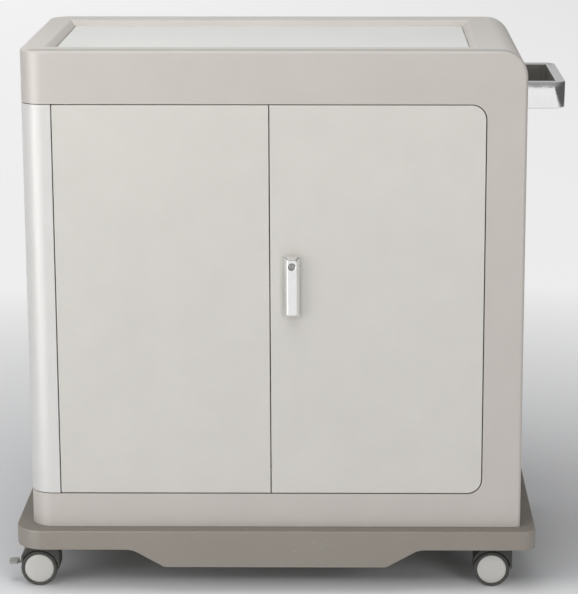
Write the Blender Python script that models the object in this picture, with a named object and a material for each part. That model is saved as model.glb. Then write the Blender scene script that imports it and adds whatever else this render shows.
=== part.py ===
"""Laptop charging trolley: a cabinet on twin-wheel casters with two front doors, dividers for
laptops on two shelves, and a power bay behind louvred service doors.

Metres, +Z up, front towards -Y. The origin lies on the floor, under the middle of the whole
trolley with its push handle and brake pedals.
"""
import math

import bmesh
import bpy
from mathutils import Vector

# Body
BODY_WIDTH = 1.000
BODY_DEPTH = 0.573
BODY_HEIGHT = 0.977
TOP_BAND = 0.1065
BOTTOM_BAND = 0.070
LEFT_COLUMN = 0.062
RIGHT_COLUMN = 0.079
TOP_BEND_RADIUS = 0.054
CORNER_RADIUS = 0.046
FRAME_EDGE_RADIUS = 0.007
FRAME_WALL = 0.004
FASCIA_DEPTH = 0.022
TOP_SKIN = 0.020
OPENING_RADIUS = 0.031
SEAM = 0.0015

# Recess and panel in the top
RECESS_LEFT = 0.0535
RECESS_RIGHT = 0.102
RECESS_FRONT = 0.0575
RECESS_REAR = 0.074
RECESS_DROP = 0.0125
RECESS_RUN = 0.006
INSERT_THICKNESS = 0.003
INSERT_GAP = 0.0015
INSERT_EDGE = 0.0008

# Front doors
DOOR_GAP = 0.002
DOOR_DEPTH = 0.022
DOOR_SKIN = 0.0015
PIVOT_INSET = 0.030
REAR_PIVOT_INSET = 0.020
PIVOT_SETBACK = 0.007
PIVOT_RADIUS = 0.003
PIVOT_REACH = 0.011
PIVOT_CLEARANCE = 0.0005
REAR_PIVOT_COLLAR = 0.0045
REAR_PIVOT_LENGTH = 0.016
SWING_ROOM = 0.0045

# Barrel bolt on the back of the left door
BOLT_RADIUS = 0.004
BOLT_LENGTH = 0.070
BOLT_TRAVEL = 0.012
BOLT_INSET = 0.032
BOLT_STANDOFF = 0.0057
BOLT_CLEARANCE = 0.0005
BOLT_KNOB_RADIUS = 0.003
BOLT_KNOB_LENGTH = 0.010
GUIDE_WALL = 0.003
GUIDE_HEIGHT = 0.012
GUIDE_MARGIN = 0.004
BOLT_WAY = 0.0175

# Lock with its lever and cam
LOCK_FROM_EDGE = 0.0435
LOCK_HEIGHT = 0.548
BOSS_RADIUS = 0.0145
BOSS_STAND = 0.005
LEVER_HALF_WIDTH = 0.015
LEVER_HEAD = 0.0195
LEVER_REACH = 0.105
LEVER_THICKNESS = 0.015
LEVER_SIDE = 0.006
LEVER_CHAMFER = 0.006
LEVER_CORNER_RADIUS = 0.003
SPINDLE_RADIUS = 0.005
SPINDLE_SEAT = 0.008
CAM_LENGTH = 0.063
CAM_HALF_WIDTH = 0.010
CAM_THICKNESS = 0.003
CAM_CLEARANCE = 0.002
KEY_RADIUS = 0.0065
KEY_DEPTH = 0.008
KEY_SLOT_LENGTH = 0.007
KEY_SLOT_WIDTH = 0.0014
KEY_SLOT_DEPTH = 0.004

# Lining, shelves and dividers
LINER = 0.0015
SHELF_SHEET = 0.002
LOWER_SHELF_RISE = 0.035
TIER_HEIGHT = 0.385
SHELF_LIP = 0.025
SHELF_REAR_LIP = 0.010
LEDGE_WIDTH = 0.014
LEDGE_HEIGHT = 0.012
BAYS = 12
RACK_BASE = 0.002
RACK_SIDE_GAP = 0.001
DIVIDER_SHEET = 0.003
DIVIDER_HEIGHT = 0.250
DIVIDER_SETBACK = 0.015
DIVIDER_NOSE_HEIGHT = 0.120
DIVIDER_NOSE_RUN = 0.110
PARTITION_HEIGHT = 0.285
PARTITION_SHEET = 0.002

# Rear panels, service doors and their lock
FAN_PANEL_HEIGHT = 0.150
INLET_PANEL_HEIGHT = 0.080
PAN_SHEET = 0.002
LOUVRE_COUNT = 14
LOUVRE_PITCH = 0.016
LOUVRE_SLOT = 0.0035
LOUVRE_SIDE_MARGIN = 0.070
LOUVRE_TOP_MARGIN = 0.060
REAR_LOCK_INSET = 0.035
REAR_LOCK_RISE = 0.250
REAR_KNOB_RADIUS = 0.011
REAR_KNOB_HEIGHT = 0.010
REAR_CAM_LENGTH = 0.048
REAR_CAM_HALF_WIDTH = 0.008

# Fans
FAN_SIZE = 0.092
FAN_DEPTH = 0.025
FAN_SPACING = 0.400
FAN_BORE = 0.0425
FAN_CORNER_RADIUS = 0.006
FAN_MOTOR_RADIUS = 0.018
FAN_MOTOR_THICKNESS = 0.004
FAN_STRUT = 0.005
FAN_TRAY_SHEET = 0.002
FAN_TRAY_BORDER = 0.010
ROTOR_HUB_RADIUS = 0.0175
ROTOR_DEPTH = 0.017
BLADES = 7
BLADE_TIP_RADIUS = 0.0405
BLADE_SHEET = 0.0016
BLADE_PITCH = math.radians(38)
BLADE_SWEEP = math.radians(24)
GRILLE_PITCH = 0.0075
GRILLE_SLOT = 0.0035

# Power bay
POWER_BAY_DEPTH = 0.1584
STRIP_END_ROOM = 0.0495
STRIP_HEIGHT = 0.048
STRIP_DEPTH = 0.042
STRIP_CHAMFER = 0.005
STRIP_RISE = 0.165
OUTLET_WIDTH = 0.034
OUTLET_HEIGHT = 0.030
OUTLET_RAISE = 0.002
OUTLET_SLOT_LENGTH = 0.007
OUTLET_SLOT_WIDTH = 0.0026
OUTLET_SLOT_DEPTH = 0.002
CONTROL_WIDTH = 0.150
CONTROL_DEPTH = 0.075
CONTROL_HEIGHT = 0.085
CONTROL_EDGE = 0.004
LEAD_RADIUS = 0.0035
LEAD_BEND = 0.020

# Mains inlet with its rocker switch
INLET_FROM_LEFT = 0.150
INLET_WIDTH = 0.066
INLET_HEIGHT = 0.032
INLET_FLANGE = 0.002
INLET_FLANGE_BORDER = 0.005
INLET_BODY_DEPTH = 0.024
SOCKET_WIDTH = 0.025
SOCKET_HEIGHT = 0.017
SOCKET_DEPTH = 0.016
SOCKET_CHAMFER = 0.004
MODULE_WALL = 0.004
ROCKER_WIDTH = 0.015
ROCKER_HEIGHT = 0.022
ROCKER_DEPTH = 0.008
ROCKER_CROWN = 0.0025
ROCKER_CLEARANCE = 0.001

# Push handle
HANDLE_LENGTH = 0.295
HANDLE_REACH = 0.0865
HANDLE_BAR = 0.020
HANDLE_HEIGHT = 0.054
HANDLE_DROP = 0.082
HANDLE_OUTER_RADIUS = 0.024
HANDLE_INNER_RADIUS = 0.005
HANDLE_EDGE = 0.0015

# Plinth and chassis
OVERHANG = 0.031
PLINTH_WALL = 0.004
PLINTH_RIM = 0.040
PLINTH_LEFT_RADIUS = 0.060
PLINTH_RIGHT_RADIUS = 0.028
PLINTH_EDGE = 0.003
SKIRT_DROP = 0.037
SKIRT_HALF_WIDTH = 0.226
SKIRT_SLOPE_RUN = 0.066
SKIRT_UPPER_RADIUS = 0.045
SKIRT_LOWER_RADIUS = 0.008
RAIL_HEIGHT = 0.0334
RAIL_WIDTH = 0.066
RAIL_SHEET = 0.003
RAIL_END_GAP = 0.020
CROSS_MEMBER_OFFSET = 0.120
CROSS_MEMBER_WIDTH = 0.030
CROSS_MEMBER_HEIGHT = 0.024

# Casters
CASTER_HEIGHT = 0.100
CASTER_INSET = 0.033
CASTER_SETBACK = 0.051
CASTER_TRAIL = 0.0225
CASTER_PLATE = 0.062
CASTER_PLATE_THICKNESS = 0.0025
RACE_RADIUS = 0.019
RACE_HEIGHT = 0.006
STEM_RADIUS = 0.006
STEM_BORE_CLEARANCE = 0.0005
WHEEL_RADIUS = 0.0375
WHEEL_WIDTH = 0.019
WEB_THICKNESS = 0.012
WHEEL_SIDE_GAP = 0.0008
TYRE_DEPTH = 0.005
TYRE_SHOULDER = 0.003
HUB_RIM_THICKNESS = 0.0012
HUB_DISH = 0.0015
AXLE_RADIUS = 0.004
AXLE_CLEARANCE = 0.0006
HOOD_GAP = 0.002
HOOD_ROOF = 0.0132
HOOD_BACK = 0.042
HOOD_FRONT = 0.037
HOOD_FOOT = 0.009
HOOD_SLOPE_RUN = 0.022
HOOD_SLOPE_DROP = 0.026
HOOD_SLOPE_RADIUS = 0.009
HOOD_BACK_RADIUS = 0.006
HOOD_FOOT_RADIUS = 0.005
HOOD_EDGE = 0.0015
PEDAL_REACH = 0.0865
PEDAL_PAD_LENGTH = 0.0185
PEDAL_PAD_WIDTH = 0.028
PEDAL_THICKNESS = 0.004
PEDAL_ARM_WIDTH = 0.0066
PEDAL_PIVOT_BACK = 0.053
PEDAL_PIVOT_RISE = 0.044
PEDAL_TAIL = 0.004
PEDAL_PIN_RADIUS = 0.0022
PEDAL_PIN_LENGTH = 0.0114
PEDAL_TRAVEL_ROOM = 0.0055

# Fits shared by all pieces
SEAT_GAP = 0.0003
CUT_OVERRUN = 0.010

# Facets
CORNER_STEPS = 6
BEND_STEPS = 8
SMALL_STEPS = 3
ROUND_SIDES = 20
PIN_SIDES = 12

# Levels and planes, worked out from the sizes above
RAIL_BOTTOM = CASTER_HEIGHT + SEAT_GAP
PLINTH_UNDERSIDE = RAIL_BOTTOM + RAIL_HEIGHT + SEAT_GAP
PLINTH_TOP = PLINTH_UNDERSIDE + PLINTH_WALL
RIM_BOTTOM = PLINTH_TOP - PLINTH_RIM
BODY_BOTTOM = PLINTH_TOP + SEAT_GAP
BODY_TOP = BODY_BOTTOM + BODY_HEIGHT
OPENING_BOTTOM = BODY_BOTTOM + BOTTOM_BAND
OPENING_TOP = BODY_TOP - TOP_BAND
BODY_LEFT = -BODY_WIDTH / 2
BODY_RIGHT = BODY_WIDTH / 2
OPENING_LEFT = BODY_LEFT + LEFT_COLUMN
OPENING_RIGHT = BODY_RIGHT - RIGHT_COLUMN
BODY_FRONT = -BODY_DEPTH / 2
BODY_REAR = BODY_DEPTH / 2
LINING_FRONT = BODY_FRONT + FASCIA_DEPTH + SEAT_GAP
LINING_REAR = BODY_REAR - FASCIA_DEPTH - SEAT_GAP
DOOR_BOTTOM = OPENING_BOTTOM + DOOR_GAP
DOOR_TOP = OPENING_TOP - DOOR_GAP
DOOR_WIDTH = (OPENING_RIGHT - OPENING_LEFT - 3 * DOOR_GAP) / 2
LEFT_DOOR_EDGE = OPENING_LEFT + DOOR_GAP
RIGHT_DOOR_EDGE = OPENING_RIGHT - DOOR_GAP
LEFT_FREE_EDGE = LEFT_DOOR_EDGE + DOOR_WIDTH
RIGHT_FREE_EDGE = RIGHT_DOOR_EDGE - DOOR_WIDTH
DOOR_INNER_FACE = BODY_FRONT + DOOR_DEPTH
LOWER_SHELF_TOP = OPENING_BOTTOM + LOWER_SHELF_RISE
UPPER_SHELF_TOP = LOWER_SHELF_TOP + TIER_HEIGHT
FRONT_SWING = math.hypot(PIVOT_INSET, DOOR_DEPTH - PIVOT_SETBACK)
REAR_SWING = math.hypot(REAR_PIVOT_INSET, DOOR_DEPTH - PIVOT_SETBACK)
SHELF_FRONT = BODY_FRONT + PIVOT_SETBACK + FRONT_SWING + SWING_ROOM
SHELF_REAR = BODY_REAR - PIVOT_SETBACK - REAR_SWING - SWING_ROOM
DIVIDER_FRONT = SHELF_FRONT + DIVIDER_SETBACK
PARTITION_REAR = LINING_REAR - POWER_BAY_DEPTH
PARTITION_FRONT = PARTITION_REAR - PARTITION_SHEET
DIVIDER_DEPTH = PARTITION_FRONT - SEAT_GAP - DIVIDER_FRONT
REAR_TOP_EDGE = OPENING_TOP - DOOR_GAP
REAR_DOOR_TOP = REAR_TOP_EDGE - FAN_PANEL_HEIGHT - DOOR_GAP
REAR_BOTTOM_EDGE = OPENING_BOTTOM + DOOR_GAP
REAR_DOOR_BOTTOM = REAR_BOTTOM_EDGE + INLET_PANEL_HEIGHT + DOOR_GAP
CASTER_X = BODY_RIGHT - CASTER_INSET
CASTER_Y = BODY_REAR - CASTER_SETBACK
WHEEL_CENTRE_OUT = WEB_THICKNESS / 2 + WHEEL_SIDE_GAP + WHEEL_WIDTH / 2
HOOD_WIDTH = WEB_THICKNESS + 2 * (WHEEL_SIDE_GAP + WHEEL_WIDTH)
REACH_RIGHT = BODY_RIGHT + HANDLE_REACH
REACH_LEFT = CASTER_X + PEDAL_REACH
BODY_SHIFT = (REACH_LEFT - REACH_RIGHT) / 2

AXES = {"X": (2, 0, 1), "Y": (0, 2, 1), "Z": (0, 1, 2)}
EMPTIES = {}


def clear_scene():
    """Leave nothing in the scene but what this file makes."""
    for item in list(bpy.data.objects):
        bpy.data.objects.remove(item, do_unlink=True)


def linear(value):
    """One 0-255 display colour value as the linear value a material takes."""
    share = value / 255
    if share <= 0.04045:
        return share / 12.92
    return ((share + 0.055) / 1.055) ** 2.4


def material(name, red, green, blue, roughness, metallic=0.0):
    """A plain finish with the real one's colour and gloss."""
    finish = bpy.data.materials.new(name)
    finish.use_nodes = True
    shader = finish.node_tree.nodes["Principled BSDF"]
    shader.inputs["Base Color"].default_value = (linear(red), linear(green), linear(blue), 1)
    shader.inputs["Roughness"].default_value = roughness
    shader.inputs["Metallic"].default_value = metallic
    return finish


def make_materials():
    """Every finish on the trolley, by name."""
    return {
        "frame_paint": material("frame_paint", 190, 184, 178, 0.45),
        "column_paint": material("column_paint", 222, 221, 218, 0.35),
        "door_paint": material("door_paint", 202, 199, 193, 0.5),
        "insert_paint": material("insert_paint", 214, 215, 212, 0.4),
        "plinth_plastic": material("plinth_plastic", 140, 131, 123, 0.5),
        "lining_steel": material("lining_steel", 196, 196, 194, 0.5),
        "divider_plastic": material("divider_plastic", 120, 124, 128, 0.5),
        "chrome": material("chrome", 225, 225, 226, 0.08, 1.0),
        "zinc_steel": material("zinc_steel", 168, 168, 166, 0.35, 1.0),
        "black_plastic": material("black_plastic", 34, 34, 35, 0.5),
        "hood_plastic": material("hood_plastic", 44, 45, 42, 0.55),
        "tyre_rubber": material("tyre_rubber", 66, 67, 65, 0.7),
        "wheel_grey": material("wheel_grey", 192, 190, 185, 0.4),
        "lead_cover": material("lead_cover", 28, 28, 29, 0.55),
    }


def at(axis, first, second, along):
    """Point with its two outline values and its place along the axis of extrusion."""
    values = (first, second, along)
    return Vector(values[index] for index in AXES[axis])


def arc(centre, radius, start, end, steps):
    """Points along an arc, angles in degrees, both ends included."""
    points = []
    for step in range(steps + 1):
        angle = math.radians(start + (end - start) * step / steps)
        points.append((centre[0] + radius * math.cos(angle), centre[1] + radius * math.sin(angle)))
    return points


def rounded(corners, steps=CORNER_STEPS):
    """Outline through corners (first, second, radius), each radius drawn as an arc."""
    outline = []
    for index, (first, second, radius) in enumerate(corners):
        here = Vector((first, second))
        if radius == 0:
            outline.append((first, second))
            continue
        back = (Vector(corners[index - 1][:2]) - here).normalized()
        ahead = (Vector(corners[(index + 1) % len(corners)][:2]) - here).normalized()
        half = back.angle(ahead) / 2
        centre = here + (back + ahead).normalized() * radius / math.sin(half)
        tangent = radius / math.tan(half)
        start = here + back * tangent - centre
        end = here + ahead * tangent - centre
        start_angle = math.atan2(start.y, start.x)
        turn = math.atan2(end.y, end.x) - start_angle
        turn = (turn + math.pi) % math.tau - math.pi
        first_degrees = math.degrees(start_angle)
        outline.extend(arc(centre, radius, first_degrees, first_degrees + math.degrees(turn), steps))
    return outline


def rectangle(left, right, bottom, top, radii=(0, 0, 0, 0), inset=0, steps=CORNER_STEPS):
    """Rectangle outline, with radii from bottom left anticlockwise, drawn in by inset."""
    shrunk = [max(radius - inset, 0) if radius > 0 else 0 for radius in radii]
    corners = [(left + inset, bottom + inset, shrunk[0]),
               (right - inset, bottom + inset, shrunk[1]),
               (right - inset, top - inset, shrunk[2]),
               (left + inset, top - inset, shrunk[3])]
    return rounded(corners, steps)


def prism(mesh, outline, axis, low, high):
    """Closed solid with this outline between two planes along the axis."""
    near = [mesh.verts.new(at(axis, first, second, low)) for first, second in outline]
    far = [mesh.verts.new(at(axis, first, second, high)) for first, second in outline]
    for index in range(len(outline)):
        after = (index + 1) % len(outline)
        mesh.faces.new((near[index], near[after], far[after], far[index]))
    mesh.faces.new(near[::-1])
    mesh.faces.new(far)
    return near + far


def tapered(mesh, sections, axis):
    """Closed solid through a row of outlines with as many points each, as (outline, place)."""
    loops = []
    for outline, along in sections:
        loops.append([mesh.verts.new(at(axis, first, second, along)) for first, second in outline])
    for near, far in zip(loops, loops[1:]):
        for index in range(len(near)):
            after = (index + 1) % len(near)
            mesh.faces.new((near[index], near[after], far[after], far[index]))
    mesh.faces.new(loops[0][::-1])
    mesh.faces.new(loops[-1])


def block(mesh, left, right, front, rear, bottom, top):
    """Plain box between six planes."""
    return prism(mesh, rectangle(left, right, front, rear), "Z", bottom, top)


def turned(mesh, profile, axis, centre, sides, closed=False):
    """Solid turned about an axis, from (radius, place) points; closed makes a ring with a bore."""
    rings = []
    for radius, along in profile:
        if radius == 0:
            rings.append([mesh.verts.new(at(axis, centre[0], centre[1], along))])
            continue
        circle = arc(centre, radius, 0, 360, sides)[:-1]
        rings.append([mesh.verts.new(at(axis, first, second, along)) for first, second in circle])
    pairs = list(zip(rings, rings[1:]))
    if closed:
        pairs.append((rings[-1], rings[0]))
    for lower, upper in pairs:
        for index in range(sides):
            after = (index + 1) % sides
            if len(lower) == 1:
                mesh.faces.new((lower[0], upper[after], upper[index]))
            elif len(upper) == 1:
                mesh.faces.new((lower[index], lower[after], upper[0]))
            else:
                mesh.faces.new((lower[index], lower[after], upper[after], upper[index]))
    return [vertex for ring in rings for vertex in ring]


def drum(mesh, axis, centre, radius, low, high, sides=ROUND_SIDES):
    """Plain cylinder with flat ends."""
    return prism(mesh, arc(centre, radius, 0, 360, sides)[:-1], axis, low, high)


def soften(mesh, width, segments, chosen):
    """Round the edges that a test picks out."""
    mesh.normal_update()
    edges = [edge for edge in mesh.edges if chosen(edge)]
    bmesh.ops.bevel(mesh, geom=edges, offset=width, segments=segments, profile=0.5,
                    affect="EDGES", clamp_overlap=True)


def is_sharp(edge, degrees=40):
    """Whether the two faces at an edge meet at more than this angle."""
    return edge.is_manifold and edge.calc_face_angle() > math.radians(degrees)


def add_object(name, mesh, finish, carrier="trolley", smooth=False):
    """Make a piece from a mesh drawn in the body's own coordinates, and hang it on its carrier."""
    bmesh.ops.recalc_face_normals(mesh, faces=mesh.faces)
    data = bpy.data.meshes.new(name)
    place, empty = EMPTIES[carrier]
    bmesh.ops.translate(mesh, verts=mesh.verts, vec=-place)
    mesh.to_mesh(data)
    mesh.free()
    if smooth:
        data.shade_smooth()
        data.set_sharp_from_angle(angle=math.radians(35))
    item = bpy.data.objects.new(name, data)
    bpy.context.scene.collection.objects.link(item)
    item.parent = empty
    if finish is not None:
        data.materials.append(finish)
    return item


def add_pivot(name, place, carrier="trolley"):
    """Empty on a joint's axis that carries the pieces moving about it."""
    empty = bpy.data.objects.new(name, None)
    bpy.context.scene.collection.objects.link(empty)
    place = Vector(place)
    if carrier is None:
        empty.location = place
        place = Vector((0, 0, 0))
    else:
        base, parent = EMPTIES[carrier]
        empty.parent = parent
        empty.location = place - base
    EMPTIES[name] = (place, empty)
    return empty


def boolean(target, mesh, operation, name, carrier="trolley"):
    """Cut a shape from a piece, or join it on, with a hidden helper solid."""
    helper = add_object(name, mesh, None, carrier)
    helper.hide_render = True
    helper.display_type = "WIRE"
    modifier = target.modifiers.new(name, "BOOLEAN")
    modifier.operation = operation
    modifier.solver = "EXACT"
    modifier.object = helper


def cut(target, mesh, name, carrier="trolley"):
    boolean(target, mesh, "DIFFERENCE", name, carrier)


def join(target, mesh, name, carrier="trolley"):
    boolean(target, mesh, "UNION", name, carrier)


# Cabinet frame


def frame_block():
    """Outer block of the frame with its bent top corner, its round left corners and soft edges."""
    mesh = bmesh.new()
    outline = rounded([(BODY_LEFT, BODY_BOTTOM, 0), (BODY_RIGHT, BODY_BOTTOM, 0),
                       (BODY_RIGHT, BODY_TOP, TOP_BEND_RADIUS), (BODY_LEFT, BODY_TOP, 0)], BEND_STEPS)
    prism(mesh, outline, "Y", BODY_FRONT, BODY_REAR)
    middle = (BODY_BOTTOM + BODY_TOP) / 2

    def is_left_corner(edge):
        ends = [vertex.co for vertex in edge.verts]
        upright = min(end.z for end in ends) < middle < max(end.z for end in ends)
        return upright and all(end.x < OPENING_LEFT for end in ends)

    def is_rim(edge):
        on_base = all(vertex.co.z < BODY_BOTTOM + SEAT_GAP for vertex in edge.verts)
        return is_sharp(edge) and not on_base

    bmesh.ops.recalc_face_normals(mesh, faces=mesh.faces)
    soften(mesh, CORNER_RADIUS, CORNER_STEPS, is_left_corner)
    soften(mesh, FRAME_EDGE_RADIUS, SMALL_STEPS, is_rim)
    return mesh


def recess_outline(inset):
    """Outline of the recess in the top, drawn in by inset."""
    return rectangle(BODY_LEFT + RECESS_LEFT, BODY_RIGHT - RECESS_RIGHT,
                     BODY_FRONT + RECESS_FRONT, BODY_REAR - RECESS_REAR, inset=inset)


def recess_cutter():
    """Sloping sides down to the panel, then an upright pocket that the panel drops into."""
    slope = RECESS_RUN / RECESS_DROP
    floor = BODY_TOP - RECESS_DROP - INSERT_THICKNESS - SEAT_GAP
    levels = [(BODY_TOP + CUT_OVERRUN, -CUT_OVERRUN * slope),
              (BODY_TOP - RECESS_DROP, RECESS_RUN),
              (floor, RECESS_RUN)]
    mesh = bmesh.new()
    tapered(mesh, [(recess_outline(inset), level) for level, inset in levels], "Z")
    return mesh


def pivot_places():
    """The two front doors' pivots, as (x, y)."""
    setback = BODY_FRONT + PIVOT_SETBACK
    return {"left": (LEFT_DOOR_EDGE + PIVOT_INSET, setback),
            "right": (RIGHT_DOOR_EDGE - PIVOT_INSET, setback)}


def bolt_place():
    """The line that the left door's bolt slides on."""
    return (LEFT_FREE_EDGE - BOLT_INSET, DOOR_INNER_FACE + BOLT_STANDOFF + BOLT_RADIUS)


def build_outer_frame(finish):
    """C-shaped shell: top, right side and foot in one moulding, lined from inside."""
    frame = add_object("outer_frame", frame_block(), finish, smooth=True)
    passage = bmesh.new()
    outline = rectangle(BODY_LEFT - CUT_OVERRUN, OPENING_RIGHT, OPENING_BOTTOM, OPENING_TOP,
                        (0, OPENING_RADIUS, OPENING_RADIUS, 0))
    prism(passage, outline, "Y", BODY_FRONT - CUT_OVERRUN, BODY_REAR + CUT_OVERRUN)
    cut(frame, passage, "frame_passage_cutter")
    cavity = bmesh.new()
    left_wall = FRAME_WALL + CORNER_RADIUS - CORNER_RADIUS * math.cos(math.radians(45))
    bend = max(TOP_BEND_RADIUS - TOP_SKIN, 0)
    outline = rectangle(BODY_LEFT + left_wall, BODY_RIGHT - FRAME_WALL, BODY_BOTTOM + FRAME_WALL,
                        BODY_TOP - TOP_SKIN, (0, 0, bend, 0))
    prism(cavity, outline, "Y", BODY_FRONT + FASCIA_DEPTH, BODY_REAR - FASCIA_DEPTH)
    cut(frame, cavity, "frame_cavity_cutter")
    cut(frame, recess_cutter(), "frame_recess_cutter")
    holes = bmesh.new()
    depth = PIVOT_REACH + PIVOT_CLEARANCE
    wide = PIVOT_RADIUS + PIVOT_CLEARANCE
    for place in pivot_places().values():
        drum(holes, "Z", place, wide, OPENING_TOP - CUT_OVERRUN, OPENING_TOP + depth, PIN_SIDES)
        drum(holes, "Z", place, wide, OPENING_BOTTOM - depth, OPENING_BOTTOM + CUT_OVERRUN, PIN_SIDES)
    cut(frame, holes, "frame_hole_cutter")


def build_left_side_panel(finish):
    """Pale side moulding that turns both left corners and ends in the door jambs."""
    wall = FRAME_WALL
    jamb = FASCIA_DEPTH
    outer = CORNER_RADIUS
    inner = CORNER_RADIUS - wall
    outline = rounded([
        (OPENING_LEFT, BODY_FRONT + jamb, 0), (OPENING_LEFT, BODY_FRONT, 0),
        (BODY_LEFT, BODY_FRONT, outer), (BODY_LEFT, BODY_REAR, outer),
        (OPENING_LEFT, BODY_REAR, 0), (OPENING_LEFT, BODY_REAR - jamb, 0),
        (OPENING_LEFT - wall, BODY_REAR - jamb, 0), (OPENING_LEFT - wall, BODY_REAR - wall, 0),
        (BODY_LEFT + wall, BODY_REAR - wall, inner), (BODY_LEFT + wall, BODY_FRONT + wall, inner),
        (OPENING_LEFT - wall, BODY_FRONT + wall, 0), (OPENING_LEFT - wall, BODY_FRONT + jamb, 0)])
    mesh = bmesh.new()
    prism(mesh, outline, "Z", OPENING_BOTTOM + SEAM, OPENING_TOP - SEAM)
    add_object("left_side_panel", mesh, finish, smooth=True)


def build_top_insert(finish):
    """Flat panel that drops into the recess in the top."""
    mesh = bmesh.new()
    floor = BODY_TOP - RECESS_DROP - INSERT_THICKNESS
    top = BODY_TOP - RECESS_DROP
    prism(mesh, recess_outline(RECESS_RUN + INSERT_GAP), "Z", floor, top)

    def is_upper(edge):
        return all(vertex.co.z > top - SEAT_GAP for vertex in edge.verts)

    soften(mesh, INSERT_EDGE, 1, is_upper)
    add_object("top_insert", mesh, finish)


def ledge_profile(inner, inward, shelf_top):
    """Section of one shelf ledge, rooted in the side of the lining."""
    root = inner - inward * LINER / 2
    end = inner + inward * LEDGE_WIDTH
    top = shelf_top - SHELF_SHEET - SEAT_GAP
    return [(root, top - LEDGE_HEIGHT), (end, top - LINER), (end, top), (root, top)]


def build_lining(finish):
    """Welded steel lining: floor, sides with shelf ledges, and a ceiling set back for the bolt."""
    box = (OPENING_LEFT, OPENING_RIGHT, OPENING_BOTTOM, OPENING_TOP)
    mesh = bmesh.new()
    prism(mesh, rectangle(*box, inset=-LINER), "Y", LINING_FRONT, LINING_REAR)
    lining = add_object("inner_cabinet", mesh, finish)
    hollow = bmesh.new()
    prism(hollow, rectangle(*box), "Y", LINING_FRONT - CUT_OVERRUN, LINING_REAR + CUT_OVERRUN)
    cut(lining, hollow, "cabinet_hollow_cutter")
    ledges = bmesh.new()
    lip = SHELF_SHEET + SEAT_GAP
    for shelf_top in (LOWER_SHELF_TOP, UPPER_SHELF_TOP):
        for inner, inward in ((OPENING_LEFT, 1), (OPENING_RIGHT, -1)):
            prism(ledges, ledge_profile(inner, inward, shelf_top), "Y", SHELF_FRONT + lip, SHELF_REAR - lip)
    join(lining, ledges, "cabinet_ledge_joiner")
    way = bmesh.new()
    block(way, OPENING_LEFT, OPENING_RIGHT, LINING_FRONT - CUT_OVERRUN, LINING_FRONT + BOLT_WAY,
          OPENING_TOP - CUT_OVERRUN, OPENING_TOP + CUT_OVERRUN)
    cut(lining, way, "cabinet_bolt_way_cutter")


def build_shelf(name, top, finish, lead_hole):
    """Tray with a lip folded down in front and a smaller one behind, which stop at the ledges' ends."""
    low = top - SHELF_SHEET
    lip = SHELF_FRONT + SHELF_SHEET
    rear_lip = SHELF_REAR - SHELF_SHEET
    corners = [(SHELF_FRONT, top), (SHELF_FRONT, top - SHELF_LIP), (lip, top - SHELF_LIP), (lip, low),
               (rear_lip, low), (rear_lip, top - SHELF_REAR_LIP), (SHELF_REAR, top - SHELF_REAR_LIP),
               (SHELF_REAR, top)]
    mesh = bmesh.new()
    prism(mesh, corners, "X", OPENING_LEFT + SEAT_GAP, OPENING_RIGHT - SEAT_GAP)
    shelf = add_object(name, mesh, finish)
    if lead_hole:
        hole = bmesh.new()
        drum(hole, "Z", lead_riser(), LEAD_RADIUS * 1.5, low - CUT_OVERRUN, top + CUT_OVERRUN, PIN_SIDES)
        cut(shelf, hole, f"{name}_hole_cutter")


def bay_edges():
    """Left edge of each divider, between equal bays."""
    inner = OPENING_RIGHT - OPENING_LEFT
    pitch = (inner + DIVIDER_SHEET) / BAYS
    return [OPENING_LEFT + pitch * (index + 1) - DIVIDER_SHEET for index in range(BAYS - 1)]


def build_dividers(name, shelf_top, finish):
    """Divider rack: a thin base and upright plates, cut back in a curve in front for the hand."""
    base = shelf_top + SEAT_GAP
    low = base + RACK_BASE / 2
    high = base + DIVIDER_HEIGHT
    front = DIVIDER_FRONT
    rear = DIVIDER_FRONT + DIVIDER_DEPTH
    nose = base + DIVIDER_NOSE_HEIGHT
    curve = []
    for step in range(CORNER_STEPS + 1):
        share = step / CORNER_STEPS
        rise = (1 - math.cos(math.pi * share)) / 2
        curve.append((front + DIVIDER_NOSE_RUN * share, nose + (high - nose) * rise))
    outline = [(front, low)] + curve + [(rear - SEAT_GAP, high), (rear - SEAT_GAP, low)]
    mesh = bmesh.new()
    block(mesh, OPENING_LEFT + RACK_SIDE_GAP, OPENING_RIGHT - RACK_SIDE_GAP, front - RACK_SIDE_GAP, rear,
          base, base + RACK_BASE)
    rack = add_object(name, mesh, finish)
    plates = bmesh.new()
    for left in bay_edges():
        prism(plates, outline, "X", left, left + DIVIDER_SHEET)
    join(rack, plates, f"{name}_plate_joiner")


def build_partition(name, shelf_top, finish):
    """Screen between the laptops and the power bay, open above for the charging leads."""
    mesh = bmesh.new()
    bottom = shelf_top + SEAT_GAP
    block(mesh, OPENING_LEFT + SEAT_GAP, OPENING_RIGHT - SEAT_GAP, PARTITION_FRONT, PARTITION_REAR,
          bottom, bottom + PARTITION_HEIGHT)
    add_object(name, mesh, finish)


# Doors


def pan(name, box, radii, skin, inward, sheet, finish, carrier="trolley"):
    """Folded sheet tray: a skin with a flange all round that points inward."""
    left, right, bottom, top = box
    mesh = bmesh.new()
    prism(mesh, rectangle(*box, radii), "Y", skin, skin + inward * DOOR_DEPTH)
    tray = add_object(name, mesh, finish, carrier)
    hollow = bmesh.new()
    prism(hollow, rectangle(*box, radii, inset=sheet), "Y", skin + inward * sheet,
          skin + inward * (DOOR_DEPTH + CUT_OVERRUN))
    cut(tray, hollow, f"{name}_hollow_cutter", carrier)
    return tray


def pivot_hole(mesh, place, face, up, depth, radius):
    """Hole for a pivot through the flange at a door edge."""
    low, high = sorted((face - up * depth, face + up * CUT_OVERRUN))
    drum(mesh, "Z", place, radius + PIVOT_CLEARANCE, low, high, PIN_SIDES)


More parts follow.
